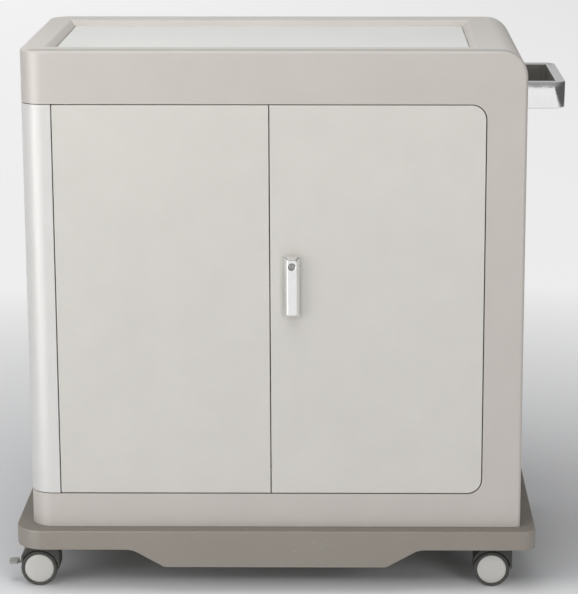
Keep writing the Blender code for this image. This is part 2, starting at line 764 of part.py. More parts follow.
def lock_place():
    """The lock's axis, as (x, z)."""
    return (RIGHT_FREE_EDGE + LOCK_FROM_EDGE, BODY_BOTTOM + LOCK_HEIGHT)


def build_front_door(side, finishes):
    """Door pan with its inner lining and the two pins that it turns on."""
    radius = OPENING_RADIUS - DOOR_GAP
    if side == "left":
        box = (LEFT_DOOR_EDGE, LEFT_FREE_EDGE, DOOR_BOTTOM, DOOR_TOP)
        radii = (0, 0, 0, 0)
    else:
        box = (RIGHT_FREE_EDGE, RIGHT_DOOR_EDGE, DOOR_BOTTOM, DOOR_TOP)
        radii = (0, radius, radius, 0)
    place = pivot_places()[side]
    carrier = f"{side}_door_pivot"
    add_pivot(carrier, (*place, DOOR_BOTTOM))
    skin = pan(f"{side}_door", box, radii, BODY_FRONT, 1, DOOR_SKIN, finishes["door_paint"], carrier)
    inset = DOOR_SKIN + SEAT_GAP
    mesh = bmesh.new()
    prism(mesh, rectangle(*box, radii, inset=inset), "Y", DOOR_INNER_FACE - DOOR_SKIN, DOOR_INNER_FACE)
    lining = add_object(f"{side}_door_lining", mesh, finishes["lining_steel"], carrier)
    holes = bmesh.new()
    edges = ((DOOR_TOP, 1), (DOOR_BOTTOM, -1))
    for face, up in edges:
        pivot_hole(holes, place, face, up, OPENING_RADIUS, PIVOT_RADIUS)
    rod = bmesh.new()
    drum(rod, "Z", place, PIVOT_RADIUS, OPENING_BOTTOM - PIVOT_REACH, OPENING_TOP + PIVOT_REACH, PIN_SIDES)
    add_object(f"{side}_hinge_rod", rod, finishes["zinc_steel"], carrier, smooth=True)
    if side == "left":
        add_bolt_guides(lining, carrier)
    else:
        for target, name in ((skin, "skin"), (lining, "lining")):
            bore = bmesh.new()
            drum(bore, "Y", lock_place(), SPINDLE_RADIUS + PIVOT_CLEARANCE, BODY_FRONT - CUT_OVERRUN,
                 DOOR_INNER_FACE + CUT_OVERRUN, PIN_SIDES)
            cut(target, bore, f"right_door_{name}_spindle_cutter", carrier)
    cut(skin, holes, f"{side}_door_hole_cutter", carrier)


def bolt_end():
    """Height of the bolt's upper end when it is drawn."""
    return DOOR_TOP - DOOR_SKIN


def add_bolt_guides(lining, carrier):
    """Two guides on the left door's lining, with the bore that the bolt slides in."""
    x, y = bolt_place()
    half = BOLT_RADIUS + GUIDE_WALL
    upper = bolt_end() - GUIDE_MARGIN - GUIDE_HEIGHT
    lower = bolt_end() - BOLT_LENGTH + BOLT_TRAVEL + GUIDE_MARGIN
    for bottom, label in ((upper, "upper"), (lower, "lower")):
        guide = bmesh.new()
        block(guide, x - half, x + half, DOOR_INNER_FACE - DOOR_SKIN / 2, y + half, bottom,
              bottom + GUIDE_HEIGHT)
        join(lining, guide, f"{label}_bolt_guide_joiner", carrier)
    bore = bmesh.new()
    drum(bore, "Z", (x, y), BOLT_RADIUS + BOLT_CLEARANCE, lower - CUT_OVERRUN,
         upper + GUIDE_HEIGHT + CUT_OVERRUN, PIN_SIDES)
    cut(lining, bore, "bolt_guide_bore_cutter", carrier)


def build_bolt(finish):
    """Bolt at the top of the left door: a rod with a finger knob, which slides up behind the frame."""
    start = bolt_end()
    centre = bolt_place()
    add_pivot("door_bolt_slide", (*centre, start), "left_door_pivot")
    mesh = bmesh.new()
    drum(mesh, "Z", centre, BOLT_RADIUS, start - BOLT_LENGTH, start, PIN_SIDES)
    bolt = add_object("door_bolt", mesh, finish, "door_bolt_slide", smooth=True)
    knob = bmesh.new()
    drum(knob, "Y", (centre[0], start - BOLT_LENGTH / 2), BOLT_KNOB_RADIUS, centre[1],
         centre[1] + BOLT_RADIUS + BOLT_KNOB_LENGTH, PIN_SIDES)
    join(bolt, knob, "bolt_knob_joiner", "door_bolt_slide")


# Lock


def capsule(centre, half_width, reach, up, tail=None):
    """Outline of a plate with a round head at the centre and a round end at its reach."""
    first, second = centre
    tail = half_width if tail is None else tail
    if up > 0:
        corners = [(first - half_width, second - half_width, half_width),
                   (first + half_width, second - half_width, half_width),
                   (first + half_width, second + reach, tail), (first - half_width, second + reach, tail)]
    else:
        corners = [(first - half_width, second - reach, tail), (first + half_width, second - reach, tail),
                   (first + half_width, second + half_width, half_width),
                   (first - half_width, second + half_width, half_width)]
    steps = CORNER_STEPS - 2
    shaped = rounded([(u, v, radius * 0.999) for u, v, radius in corners], steps)
    return shaped


def build_lock(finishes):
    """Chrome lever lock on the right door, with the cam that reaches behind the left door."""
    place = lock_place()
    carrier = "right_door_pivot"
    add_pivot("lock_axis", (place[0], BODY_FRONT, place[1]), carrier)
    boss_back = BODY_FRONT - SEAT_GAP
    lever_back = boss_back - BOSS_STAND
    lever_front = lever_back - LEVER_THICKNESS
    sections = []
    for inset, radius, level in ((0, LEVER_CORNER_RADIUS, lever_back),
                                 (0, LEVER_CORNER_RADIUS, lever_back - LEVER_SIDE),
                                 (LEVER_CHAMFER, LEVER_CORNER_RADIUS + LEVER_CHAMFER, lever_front)):
        outline = rectangle(place[0] - LEVER_HALF_WIDTH, place[0] + LEVER_HALF_WIDTH,
                            place[1] - LEVER_REACH, place[1] + LEVER_HEAD, (radius,) * 4, inset, SMALL_STEPS)
        sections.append((outline, level))
    lever = bmesh.new()
    tapered(lever, sections, "Y")
    handle = add_object("lock_handle", lever, finishes["chrome"], "lock_axis", smooth=True)
    boss = bmesh.new()
    drum(boss, "Y", place, BOSS_RADIUS, lever_back - LEVER_SIDE / 2, boss_back)
    join(handle, boss, "lock_boss_joiner", "lock_axis")
    seat = bmesh.new()
    drum(seat, "Y", place, SPINDLE_RADIUS + SEAT_GAP, boss_back - SPINDLE_SEAT - SEAT_GAP,
         boss_back + CUT_OVERRUN, PIN_SIDES)
    cut(handle, seat, "lock_spindle_cutter", "lock_axis")
    well = bmesh.new()
    drum(well, "Y", place, KEY_RADIUS + SEAT_GAP * 2, lever_front - CUT_OVERRUN,
         lever_front + KEY_DEPTH + SEAT_GAP)
    cut(handle, well, "lock_key_cutter", "lock_axis")

    cam_front = DOOR_INNER_FACE + CAM_CLEARANCE
    cam = bmesh.new()
    prism(cam, capsule(place, CAM_HALF_WIDTH, CAM_LENGTH, 1), "Y", cam_front, cam_front + CAM_THICKNESS)
    plate = add_object("lock_cam", cam, finishes["zinc_steel"], "lock_axis")
    spindle = bmesh.new()
    drum(spindle, "Y", place, SPINDLE_RADIUS, boss_back - SPINDLE_SEAT, cam_front + CAM_THICKNESS / 2,
         PIN_SIDES)
    join(plate, spindle, "lock_spindle_joiner", "lock_axis")

    add_pivot("key_axis", (place[0], lever_front, place[1]), "lock_axis")
    barrel = bmesh.new()
    drum(barrel, "Y", place, KEY_RADIUS, lever_front, lever_front + KEY_DEPTH)
    key = add_object("lock_cylinder", barrel, finishes["zinc_steel"], "key_axis", smooth=True)
    slot = bmesh.new()
    block(slot, place[0] - KEY_SLOT_WIDTH / 2, place[0] + KEY_SLOT_WIDTH / 2, lever_front - CUT_OVERRUN,
          lever_front + KEY_SLOT_DEPTH, place[1] - KEY_SLOT_LENGTH / 2, place[1] + KEY_SLOT_LENGTH / 2)
    cut(key, slot, "lock_keyway_cutter", "key_axis")


# Rear


def rear_door_boxes():
    """Left, right, bottom and top of the two service doors."""
    return {"left": (LEFT_DOOR_EDGE, LEFT_FREE_EDGE, REAR_DOOR_BOTTOM, REAR_DOOR_TOP),
            "right": (RIGHT_FREE_EDGE, RIGHT_DOOR_EDGE, REAR_DOOR_BOTTOM, REAR_DOOR_TOP)}


def rear_pivot_places():
    """The service doors' pivots, as (x, y)."""
    setback = BODY_REAR - PIVOT_SETBACK
    return {"left": (LEFT_DOOR_EDGE + REAR_PIVOT_INSET, setback),
            "right": (RIGHT_DOOR_EDGE - REAR_PIVOT_INSET, setback)}


def rear_lock_place():
    """The service lock's axis, as (x, z)."""
    return (RIGHT_FREE_EDGE + REAR_LOCK_INSET, LOWER_SHELF_TOP + REAR_LOCK_RISE)


def fan_places():
    """The two fans' axes, as (x, z)."""
    middle = (OPENING_LEFT + OPENING_RIGHT) / 2
    height = REAR_TOP_EDGE - FAN_PANEL_HEIGHT / 2
    return {"left": (middle - FAN_SPACING / 2, height), "right": (middle + FAN_SPACING / 2, height)}


def inlet_place():
    """Middle of the mains inlet, as (x, z)."""
    return (OPENING_LEFT + INLET_FROM_LEFT, REAR_BOTTOM_EDGE + INLET_PANEL_HEIGHT / 2 + LOWER_SHELF_RISE / 4)


def build_rear_panels(finish):
    """Fan panel above the service doors and inlet panel below them."""
    radius = OPENING_RADIUS - DOOR_GAP
    left = OPENING_LEFT + DOOR_GAP
    right = OPENING_RIGHT - DOOR_GAP
    upper = pan("fan_panel", (left, right, REAR_TOP_EDGE - FAN_PANEL_HEIGHT, REAR_TOP_EDGE),
                (0, 0, radius, 0), BODY_REAR, -1, PAN_SHEET, finish)
    slots = bmesh.new()
    for place in fan_places().values():
        rows = int(FAN_BORE / GRILLE_PITCH)
        for row in range(-rows, rows + 1):
            rise = row * GRILLE_PITCH
            half = math.sqrt(max(FAN_BORE ** 2 - rise ** 2, 0))
            block(slots, place[0] - half, place[0] + half, BODY_REAR - PAN_SHEET * 2,
                  BODY_REAR + CUT_OVERRUN, place[1] + rise - GRILLE_SLOT / 2,
                  place[1] + rise + GRILLE_SLOT / 2)
    cut(upper, slots, "fan_grille_cutter")
    lower = pan("inlet_panel", (left, right, REAR_BOTTOM_EDGE, REAR_BOTTOM_EDGE + INLET_PANEL_HEIGHT),
                (0, radius, 0, 0), BODY_REAR, -1, PAN_SHEET, finish)
    window = bmesh.new()
    place = inlet_place()
    half_width = INLET_WIDTH / 2 - INLET_FLANGE_BORDER + SEAT_GAP
    half_height = INLET_HEIGHT / 2 - INLET_FLANGE_BORDER + SEAT_GAP
    block(window, place[0] - half_width, place[0] + half_width, BODY_REAR - PAN_SHEET * 2,
          BODY_REAR + CUT_OVERRUN, place[1] - half_height, place[1] + half_height)
    cut(lower, window, "inlet_window_cutter")
    top_face = REAR_TOP_EDGE - FAN_PANEL_HEIGHT
    low_face = REAR_BOTTOM_EDGE + INLET_PANEL_HEIGHT
    for panel, face, up, name in ((upper, top_face, 1, "fan"), (lower, low_face, -1, "inlet")):
        holes = bmesh.new()
        for spot in rear_pivot_places().values():
            pivot_hole(holes, spot, face, -up, PAN_SHEET * 2, PIVOT_RADIUS)
        cut(panel, holes, f"{name}_panel_pivot_cutter")


def build_rear_doors(finishes):
    """Two louvred service doors on pivot pins, with a quarter-turn lock on the right one."""
    for side, box in rear_door_boxes().items():
        place = rear_pivot_places()[side]
        carrier = f"rear_{side}_door_pivot"
        add_pivot(carrier, (*place, REAR_DOOR_BOTTOM))
        door = pan(f"rear_{side}_door", box, (0, 0, 0, 0), BODY_REAR, -1, PAN_SHEET,
                   finishes["door_paint"], carrier)
        louvres = bmesh.new()
        for row in range(LOUVRE_COUNT):
            top = box[3] - LOUVRE_TOP_MARGIN - row * LOUVRE_PITCH
            block(louvres, box[0] + LOUVRE_SIDE_MARGIN, box[1] - LOUVRE_SIDE_MARGIN,
                  BODY_REAR - PAN_SHEET * 2, BODY_REAR + CUT_OVERRUN, top - LOUVRE_SLOT, top)
        cut(door, louvres, f"rear_{side}_louvre_cutter", carrier)
        pins = bmesh.new()
        for face, up in ((REAR_DOOR_TOP, 1), (REAR_DOOR_BOTTOM, -1)):
            end = face + up * (DOOR_GAP + PIVOT_REACH)
            inside = face - up * REAR_PIVOT_LENGTH
            seat = face - up * PAN_SHEET / 2
            profile = [(0, inside), (REAR_PIVOT_COLLAR, inside), (REAR_PIVOT_COLLAR, seat),
                       (PIVOT_RADIUS, seat), (PIVOT_RADIUS, end), (0, end)]
            turned(pins, profile, "Z", place, PIN_SIDES)
        join(door, pins, f"rear_{side}_pivot_joiner", carrier)
        if side == "right":
            bore = bmesh.new()
            drum(bore, "Y", rear_lock_place(), SPINDLE_RADIUS + PIVOT_CLEARANCE, BODY_REAR - PAN_SHEET * 2,
                 BODY_REAR + CUT_OVERRUN, PIN_SIDES)
            cut(door, bore, "rear_lock_bore_cutter", carrier)


def build_rear_lock(finish):
    """Quarter-turn lock: knob outside, spindle through the skin, cam inside."""
    place = rear_lock_place()
    add_pivot("rear_lock_axis", (place[0], BODY_REAR, place[1]), "rear_right_door_pivot")
    cam_rear = BODY_REAR - DOOR_DEPTH - CAM_CLEARANCE
    cam = bmesh.new()
    prism(cam, capsule(place, REAR_CAM_HALF_WIDTH, REAR_CAM_LENGTH, 1), "Y", cam_rear - CAM_THICKNESS,
          cam_rear)
    lock = add_object("rear_lock", cam, finish, "rear_lock_axis", smooth=True)
    knob = bmesh.new()
    seat = BODY_REAR + SEAT_GAP
    top = seat + REAR_KNOB_HEIGHT
    edge = REAR_KNOB_HEIGHT / 4
    profile = [(0, cam_rear - CAM_THICKNESS / 2), (SPINDLE_RADIUS, cam_rear - CAM_THICKNESS / 2),
               (SPINDLE_RADIUS, seat), (REAR_KNOB_RADIUS, seat), (REAR_KNOB_RADIUS, top - edge),
               (REAR_KNOB_RADIUS - edge, top), (0, top)]
    turned(knob, profile, "Y", place, ROUND_SIDES)
    join(lock, knob, "rear_knob_joiner", "rear_lock_axis")


# Fans


def blade(mesh, place, base, angle):
    """One blade: a thin twisted plate from inside the hub to its tip, swept back as it goes out."""
    rings = []
    stations = 3
    root = ROTOR_HUB_RADIUS * 0.9
    for step in range(stations + 1):
        share = step / stations
        radius = root + (BLADE_TIP_RADIUS - root) * share
        pitch = BLADE_PITCH * (1 - share * 0.35)
        chord = ROTOR_DEPTH * 0.8 / math.sin(BLADE_PITCH)
        half_along = chord * math.sin(pitch) / 2
        half_round = chord * math.cos(pitch) / 2 / radius
        swept = angle + BLADE_SWEEP * share ** 2
        half_sheet = BLADE_SHEET / 2
        ring = []
        for turn, along in ((-half_round, -half_along - half_sheet), (half_round, half_along - half_sheet),
                            (half_round, half_along + half_sheet), (-half_round, -half_along + half_sheet)):
            spot = (place[0] + radius * math.cos(swept + turn), place[1] + radius * math.sin(swept + turn))
            ring.append(mesh.verts.new(at("Y", *spot, base + along)))
        rings.append(ring)
    for inner, outer in zip(rings, rings[1:]):
        for index in range(4):
            after = (index + 1) % 4
            mesh.faces.new((inner[index], inner[after], outer[after], outer[index]))
    mesh.faces.new(rings[0])
    mesh.faces.new(rings[-1])


def build_fans(finishes):
    """Fan tray with two ducts and their motor seats on struts, and the two bladed rotors."""
    outer = BODY_REAR - PAN_SHEET - SEAT_GAP
    inner = outer - FAN_DEPTH
    half = FAN_SIZE / 2
    frames = bmesh.new()
    bores = bmesh.new()
    seats = bmesh.new()
    for place in fan_places().values():
        radii = (FAN_CORNER_RADIUS,) * 4
        prism(frames, rectangle(place[0] - half, place[0] + half, place[1] - half, place[1] + half, radii,
                                steps=SMALL_STEPS), "Y", inner, outer)
        drum(bores, "Y", place, FAN_BORE, inner - CUT_OVERRUN, outer + CUT_OVERRUN, ROUND_SIDES + PIN_SIDES)
        hub = [(0, inner), (FAN_MOTOR_RADIUS, inner), (FAN_MOTOR_RADIUS, inner + FAN_MOTOR_THICKNESS),
               (0, inner + FAN_MOTOR_THICKNESS)]
        turned(seats, hub, "Y", place, ROUND_SIDES)
    tray = bmesh.new()
    centres = list(fan_places().values())
    border = half + FAN_TRAY_BORDER
    block(tray, centres[0][0] - border, centres[1][0] + border, outer - FAN_TRAY_SHEET, outer,
          centres[0][1] - border, centres[0][1] + border)
    frame = add_object("fan_tray", tray, finishes["black_plastic"])
    join(frame, frames, "fan_duct_joiner")
    cut(frame, bores, "fan_bore_cutter")
    spokes = bmesh.new()
    reach = (FAN_BORE + half) / 2
    for place in fan_places().values():
        for spoke in range(3):
            angle = math.radians(90 + 120 * spoke)
            along = Vector((math.cos(angle), math.sin(angle)))
            across = Vector((-along.y, along.x)) * FAN_STRUT / 2
            centre = Vector(place)
            start = centre + along * FAN_MOTOR_RADIUS / 2
            end = centre + along * reach
            corners = [start - across, end - across, end + across, start + across]
            prism(spokes, [tuple(corner) for corner in corners], "Y", inner + SEAT_GAP,
                  inner + FAN_MOTOR_THICKNESS - SEAT_GAP)
    join(frame, spokes, "fan_spoke_joiner")
    join(frame, seats, "fan_motor_joiner")
    for side, place in fan_places().items():
        base = inner + FAN_MOTOR_THICKNESS + SEAT_GAP
        add_pivot(f"{side}_fan_axis", (place[0], base, place[1]))
        hub = bmesh.new()
        crown = ROTOR_HUB_RADIUS * 0.85
        profile = [(0, base), (ROTOR_HUB_RADIUS, base), (ROTOR_HUB_RADIUS, base + ROTOR_DEPTH * 0.9),
                   (crown, base + ROTOR_DEPTH), (0, base + ROTOR_DEPTH)]
        turned(hub, profile, "Y", place, ROUND_SIDES)
        rotor = add_object(f"{side}_fan_rotor", hub, finishes["black_plastic"], f"{side}_fan_axis",
                           smooth=True)
        blades = bmesh.new()
        for index in range(BLADES):
            blade(blades, place, base + ROTOR_DEPTH / 2, math.tau * index / BLADES)
        join(rotor, blades, f"{side}_fan_blade_joiner", f"{side}_fan_axis")


# Power bay


def strip_levels():
    """Bottom of each power strip."""
    return {"lower": LOWER_SHELF_TOP + STRIP_RISE, "upper": UPPER_SHELF_TOP + STRIP_RISE}


def strip_span():
    """Left and right ends of a power strip."""
    return (OPENING_LEFT + STRIP_END_ROOM, OPENING_RIGHT - STRIP_END_ROOM)


def build_power_strips(finish):
    """Socket strips on the backs of the partitions, one raised outlet for each bay."""
    front = PARTITION_REAR + SEAT_GAP
    rear = front + STRIP_DEPTH
    face = rear + OUTLET_RAISE
    left, right = strip_span()
    pitch = (right - left) / BAYS
    for tier, bottom in strip_levels().items():
        top = bottom + STRIP_HEIGHT
        outline = [(front, bottom), (rear - STRIP_CHAMFER, bottom), (rear, bottom + STRIP_CHAMFER),
                   (rear, top - STRIP_CHAMFER), (rear - STRIP_CHAMFER, top), (front, top)]
        mesh = bmesh.new()
        prism(mesh, outline, "X", left, right)
        strip = add_object(f"{tier}_power_strip", mesh, finish)
        outlets = bmesh.new()
        slots = bmesh.new()
        height = bottom + STRIP_HEIGHT / 2
        for index in range(BAYS):
            middle = left + pitch * (index + 0.5)
            block(outlets, middle - OUTLET_WIDTH / 2, middle + OUTLET_WIDTH / 2, rear - OUTLET_RAISE, face,
                  height - OUTLET_HEIGHT / 2, height + OUTLET_HEIGHT / 2)
            for across, rise in ((-1, -1), (0, 1), (1, -1)):
                slot_x = middle + across * OUTLET_WIDTH / 4
                slot_z = height + rise * OUTLET_HEIGHT / 6
                block(slots, slot_x - OUTLET_SLOT_WIDTH / 2, slot_x + OUTLET_SLOT_WIDTH / 2,
                      face - OUTLET_SLOT_DEPTH / 2, face + CUT_OVERRUN,
                      slot_z - OUTLET_SLOT_LENGTH / 2, slot_z + OUTLET_SLOT_LENGTH / 2)
        join(strip, outlets, f"{tier}_outlet_joiner")
        cut(strip, slots, f"{tier}_slot_cutter")


def control_box():
    """Left, right, front, rear, bottom and top of the control box."""
    middle = inlet_place()[0]
    rear = BODY_REAR + SEAT_GAP + INLET_FLANGE - INLET_BODY_DEPTH - SEAT_GAP
    bottom = LOWER_SHELF_TOP + SEAT_GAP
    return (middle - CONTROL_WIDTH / 2, middle + CONTROL_WIDTH / 2, rear - CONTROL_DEPTH, rear, bottom,
            bottom + CONTROL_HEIGHT)


def build_control_box(finish):
    """Closed box with the timer and the breaker, on the lower shelf behind the mains inlet."""
    mesh = bmesh.new()
    block(mesh, *control_box())
    top = control_box()[5]

    def is_upper(edge):
        return all(vertex.co.z > top - SEAT_GAP for vertex in edge.verts)

    soften(mesh, CONTROL_EDGE, 1, is_upper)
    add_object("control_box", mesh, finish)


def lead_riser():
    """Where the upper strip's lead goes up through the shelf, as (x, y)."""
    left, right, front, rear, bottom, top = control_box()
    return (left + LEAD_BEND, front + LEAD_BEND)


def add_lead(name, route, finish):
    """Lead as a round tube along the smooth curve through its route points."""
    curve = bpy.data.curves.new(name, "CURVE")
    curve.dimensions = "3D"
    curve.bevel_depth = LEAD_RADIUS
    curve.bevel_resolution = 1
    curve.use_fill_caps = True
    points = smooth_route([Vector(point) for point in route])
    spline = curve.splines.new("POLY")
    spline.points.add(len(points) - 1)
    for target, point in zip(spline.points, points):
        target.co = (*point, 1)
    item = bpy.data.objects.new(name, curve)
    bpy.context.scene.collection.objects.link(item)
    item.parent = EMPTIES["trolley"][1]
    curve.materials.append(finish)


def smooth_route(points, steps=4):
    """Straight first and last stretches, and a smooth curve through the points between them."""
    smooth = [points[0]]
    for before, start, end, after in zip(points, points[1:], points[2:], points[3:]):
        for step in range(steps):
            share = step / steps
            smooth.append((start * 2 + (end - before) * share
                           + (before * 2 - start * 5 + end * 4 - after) * share ** 2
                           + (start * 3 - before - end * 3 + after) * share ** 3) / 2)
    return smooth + points[-2:]


def build_leads(finish):
    """Leads from the control box up to the left ends of both power strips."""
    left, right, front, rear, bottom, top = control_box()
    bend = LEAD_BEND
    strip_end = strip_span()[0] - SEAT_GAP
    strip_y = PARTITION_REAR + SEAT_GAP + STRIP_DEPTH / 2
    out = strip_end - bend / 2
    riser = lead_riser()
    starts = {"lower": (riser[0] + bend * 1.5, riser[1]), "upper": riser}
    for tier, start in starts.items():
        height = strip_levels()[tier] + STRIP_HEIGHT / 2
        route = [(*start, top + SEAT_GAP), (*start, top + bend)]
        if tier == "upper":
            route.append((*start, (top + UPPER_SHELF_TOP) / 2))
            route.append((*start, UPPER_SHELF_TOP - bend))
            route.append((*start, UPPER_SHELF_TOP + bend))
            route.append((*start, UPPER_SHELF_TOP + bend * 2))
        route.append((start[0] * 0.5 + out * 0.5, (start[1] + strip_y) / 2, height - bend * 3))
        route.append((out - bend / 4, strip_y, height - bend))
        route.append((out, strip_y, height))
        route.append((strip_end, strip_y, height))
        add_lead(f"{tier}_strip_lead", route, finish)


def build_inlet(finishes):
    """Inlet module with its socket and the rocker switch beside it."""
    place = inlet_place()
    outer = BODY_REAR + SEAT_GAP + INLET_FLANGE
    flange = bmesh.new()
    prism(flange, rectangle(place[0] - INLET_WIDTH / 2, place[0] + INLET_WIDTH / 2,
                            place[1] - INLET_HEIGHT / 2, place[1] + INLET_HEIGHT / 2), "Y",
          BODY_REAR + SEAT_GAP, outer)
    module = add_object("mains_inlet", flange, finishes["black_plastic"])
    body = bmesh.new()
    border = INLET_FLANGE_BORDER
    block(body, place[0] - INLET_WIDTH / 2 + border, place[0] + INLET_WIDTH / 2 - border,
          outer - INLET_BODY_DEPTH, outer - INLET_FLANGE / 2, place[1] - INLET_HEIGHT / 2 + border,
          place[1] + INLET_HEIGHT / 2 - border)
    join(module, body, "inlet_body_joiner")
    socket, rocker = socket_place(), rocker_place()
    mouth = bmesh.new()
    half_width = SOCKET_WIDTH / 2
    half_height = SOCKET_HEIGHT / 2
    corner = SOCKET_CHAMFER
    outline = [(socket[0] - half_width, socket[1] - half_height),
               (socket[0] + half_width, socket[1] - half_height),
               (socket[0] + half_width, socket[1] + half_height - corner),
               (socket[0] + half_width - corner, socket[1] + half_height),
               (socket[0] - half_width + corner, socket[1] + half_height),
               (socket[0] - half_width, socket[1] + half_height - corner)]
    prism(mouth, outline, "Y", outer - SOCKET_DEPTH, outer + CUT_OVERRUN)
    cut(module, mouth, "inlet_socket_cutter")
    well = bmesh.new()
    clear = ROCKER_CLEARANCE
    block(well, rocker[0] - ROCKER_WIDTH / 2 - SEAT_GAP, rocker[0] + ROCKER_WIDTH / 2 + SEAT_GAP,
          outer - ROCKER_DEPTH - clear * 2, outer + CUT_OVERRUN, rocker[1] - ROCKER_HEIGHT / 2 - clear,
          rocker[1] + ROCKER_HEIGHT / 2 + clear)
    cut(module, well, "inlet_rocker_cutter")
    add_pivot("rocker_axis", (rocker[0], outer - ROCKER_DEPTH / 2, rocker[1]))
    button = bmesh.new()
    half = ROCKER_HEIGHT / 2
    base = outer - ROCKER_DEPTH
    slack = ROCKER_HEIGHT * 0.12
    profile = [(base, rocker[1] - half + slack), (outer + ROCKER_CROWN, rocker[1] - half + slack / 2),
               (outer, rocker[1]), (outer + SEAT_GAP, rocker[1] + half - slack / 2),
               (base, rocker[1] + half - slack)]
    prism(button, profile, "X", rocker[0] - ROCKER_WIDTH / 2, rocker[0] + ROCKER_WIDTH / 2)
    add_object("power_rocker", button, finishes["hood_plastic"], "rocker_axis")


def socket_place():
    """Middle of the socket, as (x, z)."""
    place = inlet_place()
    return (place[0] - INLET_WIDTH / 2 + INLET_FLANGE_BORDER + MODULE_WALL + SOCKET_WIDTH / 2, place[1])


def rocker_place():
    """Middle of the rocker, as (x, z)."""
    place = inlet_place()
    return (place[0] + INLET_WIDTH / 2 - INLET_FLANGE_BORDER - MODULE_WALL - ROCKER_WIDTH / 2, place[1])


# Push handle, plinth and chassis


def build_push_handle(finish):
    """Flat bar bent into a bail, standing on the right side."""
    foot = BODY_RIGHT + SEAT_GAP
    outer = BODY_RIGHT + HANDLE_REACH
    half = HANDLE_LENGTH / 2
    inner = outer - HANDLE_BAR
    outline = rounded([
        (foot, -half, 0), (outer, -half, HANDLE_OUTER_RADIUS), (outer, half, HANDLE_OUTER_RADIUS),
        (foot, half, 0), (foot, half - HANDLE_BAR, 0), (inner, half - HANDLE_BAR, HANDLE_INNER_RADIUS),
        (inner, HANDLE_BAR - half, HANDLE_INNER_RADIUS), (foot, HANDLE_BAR - half, 0)], CORNER_STEPS)
    top = BODY_TOP - HANDLE_DROP
    bottom = top - HANDLE_HEIGHT
    mesh = bmesh.new()
    prism(mesh, outline, "Z", bottom, top)

    def is_rim(edge):
        ends = [vertex.co for vertex in edge.verts]
        flat = all(end.z > top - SEAT_GAP for end in ends) or all(end.z < bottom + SEAT_GAP for end in ends)
        return flat and max(end.x for end in ends) > foot + SEAT_GAP

    soften(mesh, HANDLE_EDGE, 2, is_rim)
    add_object("push_handle", mesh, finish, smooth=True)


def build_plinth(finish):
    """Moulded base tray with a rim all round and a skirt that dips in the middle."""
    left = BODY_LEFT - OVERHANG
    right = BODY_RIGHT + OVERHANG
    front = BODY_FRONT - OVERHANG
    rear = BODY_REAR + OVERHANG
    radii = (PLINTH_LEFT_RADIUS, PLINTH_RIGHT_RADIUS, PLINTH_RIGHT_RADIUS, PLINTH_LEFT_RADIUS)
    bottom = RIM_BOTTOM - SKIRT_DROP
    mesh = bmesh.new()
    prism(mesh, rectangle(left, right, front, rear, radii), "Z", bottom, PLINTH_TOP)

    def is_upper(edge):
        return all(vertex.co.z > PLINTH_TOP - SEAT_GAP for vertex in edge.verts)

    soften(mesh, PLINTH_EDGE, 2, is_upper)
    tray = add_object("plinth_cover", mesh, finish, smooth=True)
    hollow = bmesh.new()
    prism(hollow, rectangle(left, right, front, rear, radii, inset=PLINTH_WALL), "Z",
          bottom - CUT_OVERRUN, PLINTH_UNDERSIDE)
    cut(tray, hollow, "plinth_hollow_cutter")
    below = bmesh.new()
    beyond = right + CUT_OVERRUN
    start = SKIRT_HALF_WIDTH + SKIRT_SLOPE_RUN
    low = bottom - CUT_OVERRUN
    for side in (-1, 1):
        corners = [(side * beyond, RIM_BOTTOM, 0), (side * start, RIM_BOTTOM, SKIRT_UPPER_RADIUS),
                   (side * SKIRT_HALF_WIDTH, bottom, SKIRT_LOWER_RADIUS), (0, bottom, 0), (0, low, 0),
                   (side * beyond, low, 0)]
        prism(below, rounded(corners, SMALL_STEPS + 1), "Y", front - CUT_OVERRUN, rear + CUT_OVERRUN)
    cut(tray, below, "plinth_skirt_cutter")


def build_chassis(finish):
    """Welded steel chassis under the tray: two channels for the casters and two cross-members."""
    length = BODY_DEPTH + OVERHANG * 2 - PLINTH_WALL * 2 - RAIL_END_GAP * 2
    top = RAIL_BOTTOM + RAIL_HEIGHT
    half = RAIL_WIDTH / 2
    sheet = RAIL_SHEET
    rails = []
    for side in (-1, 1):
        middle = side * CASTER_X
        left = middle - half
        right = middle + half
        outline = [(left, RAIL_BOTTOM), (right, RAIL_BOTTOM), (right, top), (right - sheet, top),
                   (right - sheet, RAIL_BOTTOM + sheet), (left + sheet, RAIL_BOTTOM + sheet),
                   (left + sheet, top), (left, top)]
        mesh = bmesh.new()
        prism(mesh, outline, "Y", -length / 2, length / 2)
        rails.append(mesh)
    members = bmesh.new()
    end = CASTER_X - half + sheet / 2
    foot = top - CROSS_MEMBER_HEIGHT
    for side in (-1, 1):
        near = side * CROSS_MEMBER_OFFSET
        wide = near + side * CROSS_MEMBER_WIDTH
        outline = [(near, top), (wide, top), (wide, top - sheet), (near + side * sheet, top - sheet),
                   (near + side * sheet, foot), (near, foot)]
        prism(members, outline, "X", -end, end)
    chassis = add_object("chassis_frame", rails[0], finish)
    join(chassis, rails[1], "chassis_rail_joiner")
    join(chassis, members, "chassis_member_joiner")


# Casters


def caster_places():
    """Each caster's name and swivel axis, as (x, y)."""
    return {"front_left": (-CASTER_X, -CASTER_Y), "front_right": (CASTER_X, -CASTER_Y),
            "rear_left": (-CASTER_X, CASTER_Y), "rear_right": (CASTER_X, CASTER_Y)}


def hood_top():
    """Height of the flat top of a caster's hood."""
    return WHEEL_RADIUS * 2 + HOOD_GAP + HOOD_ROOF


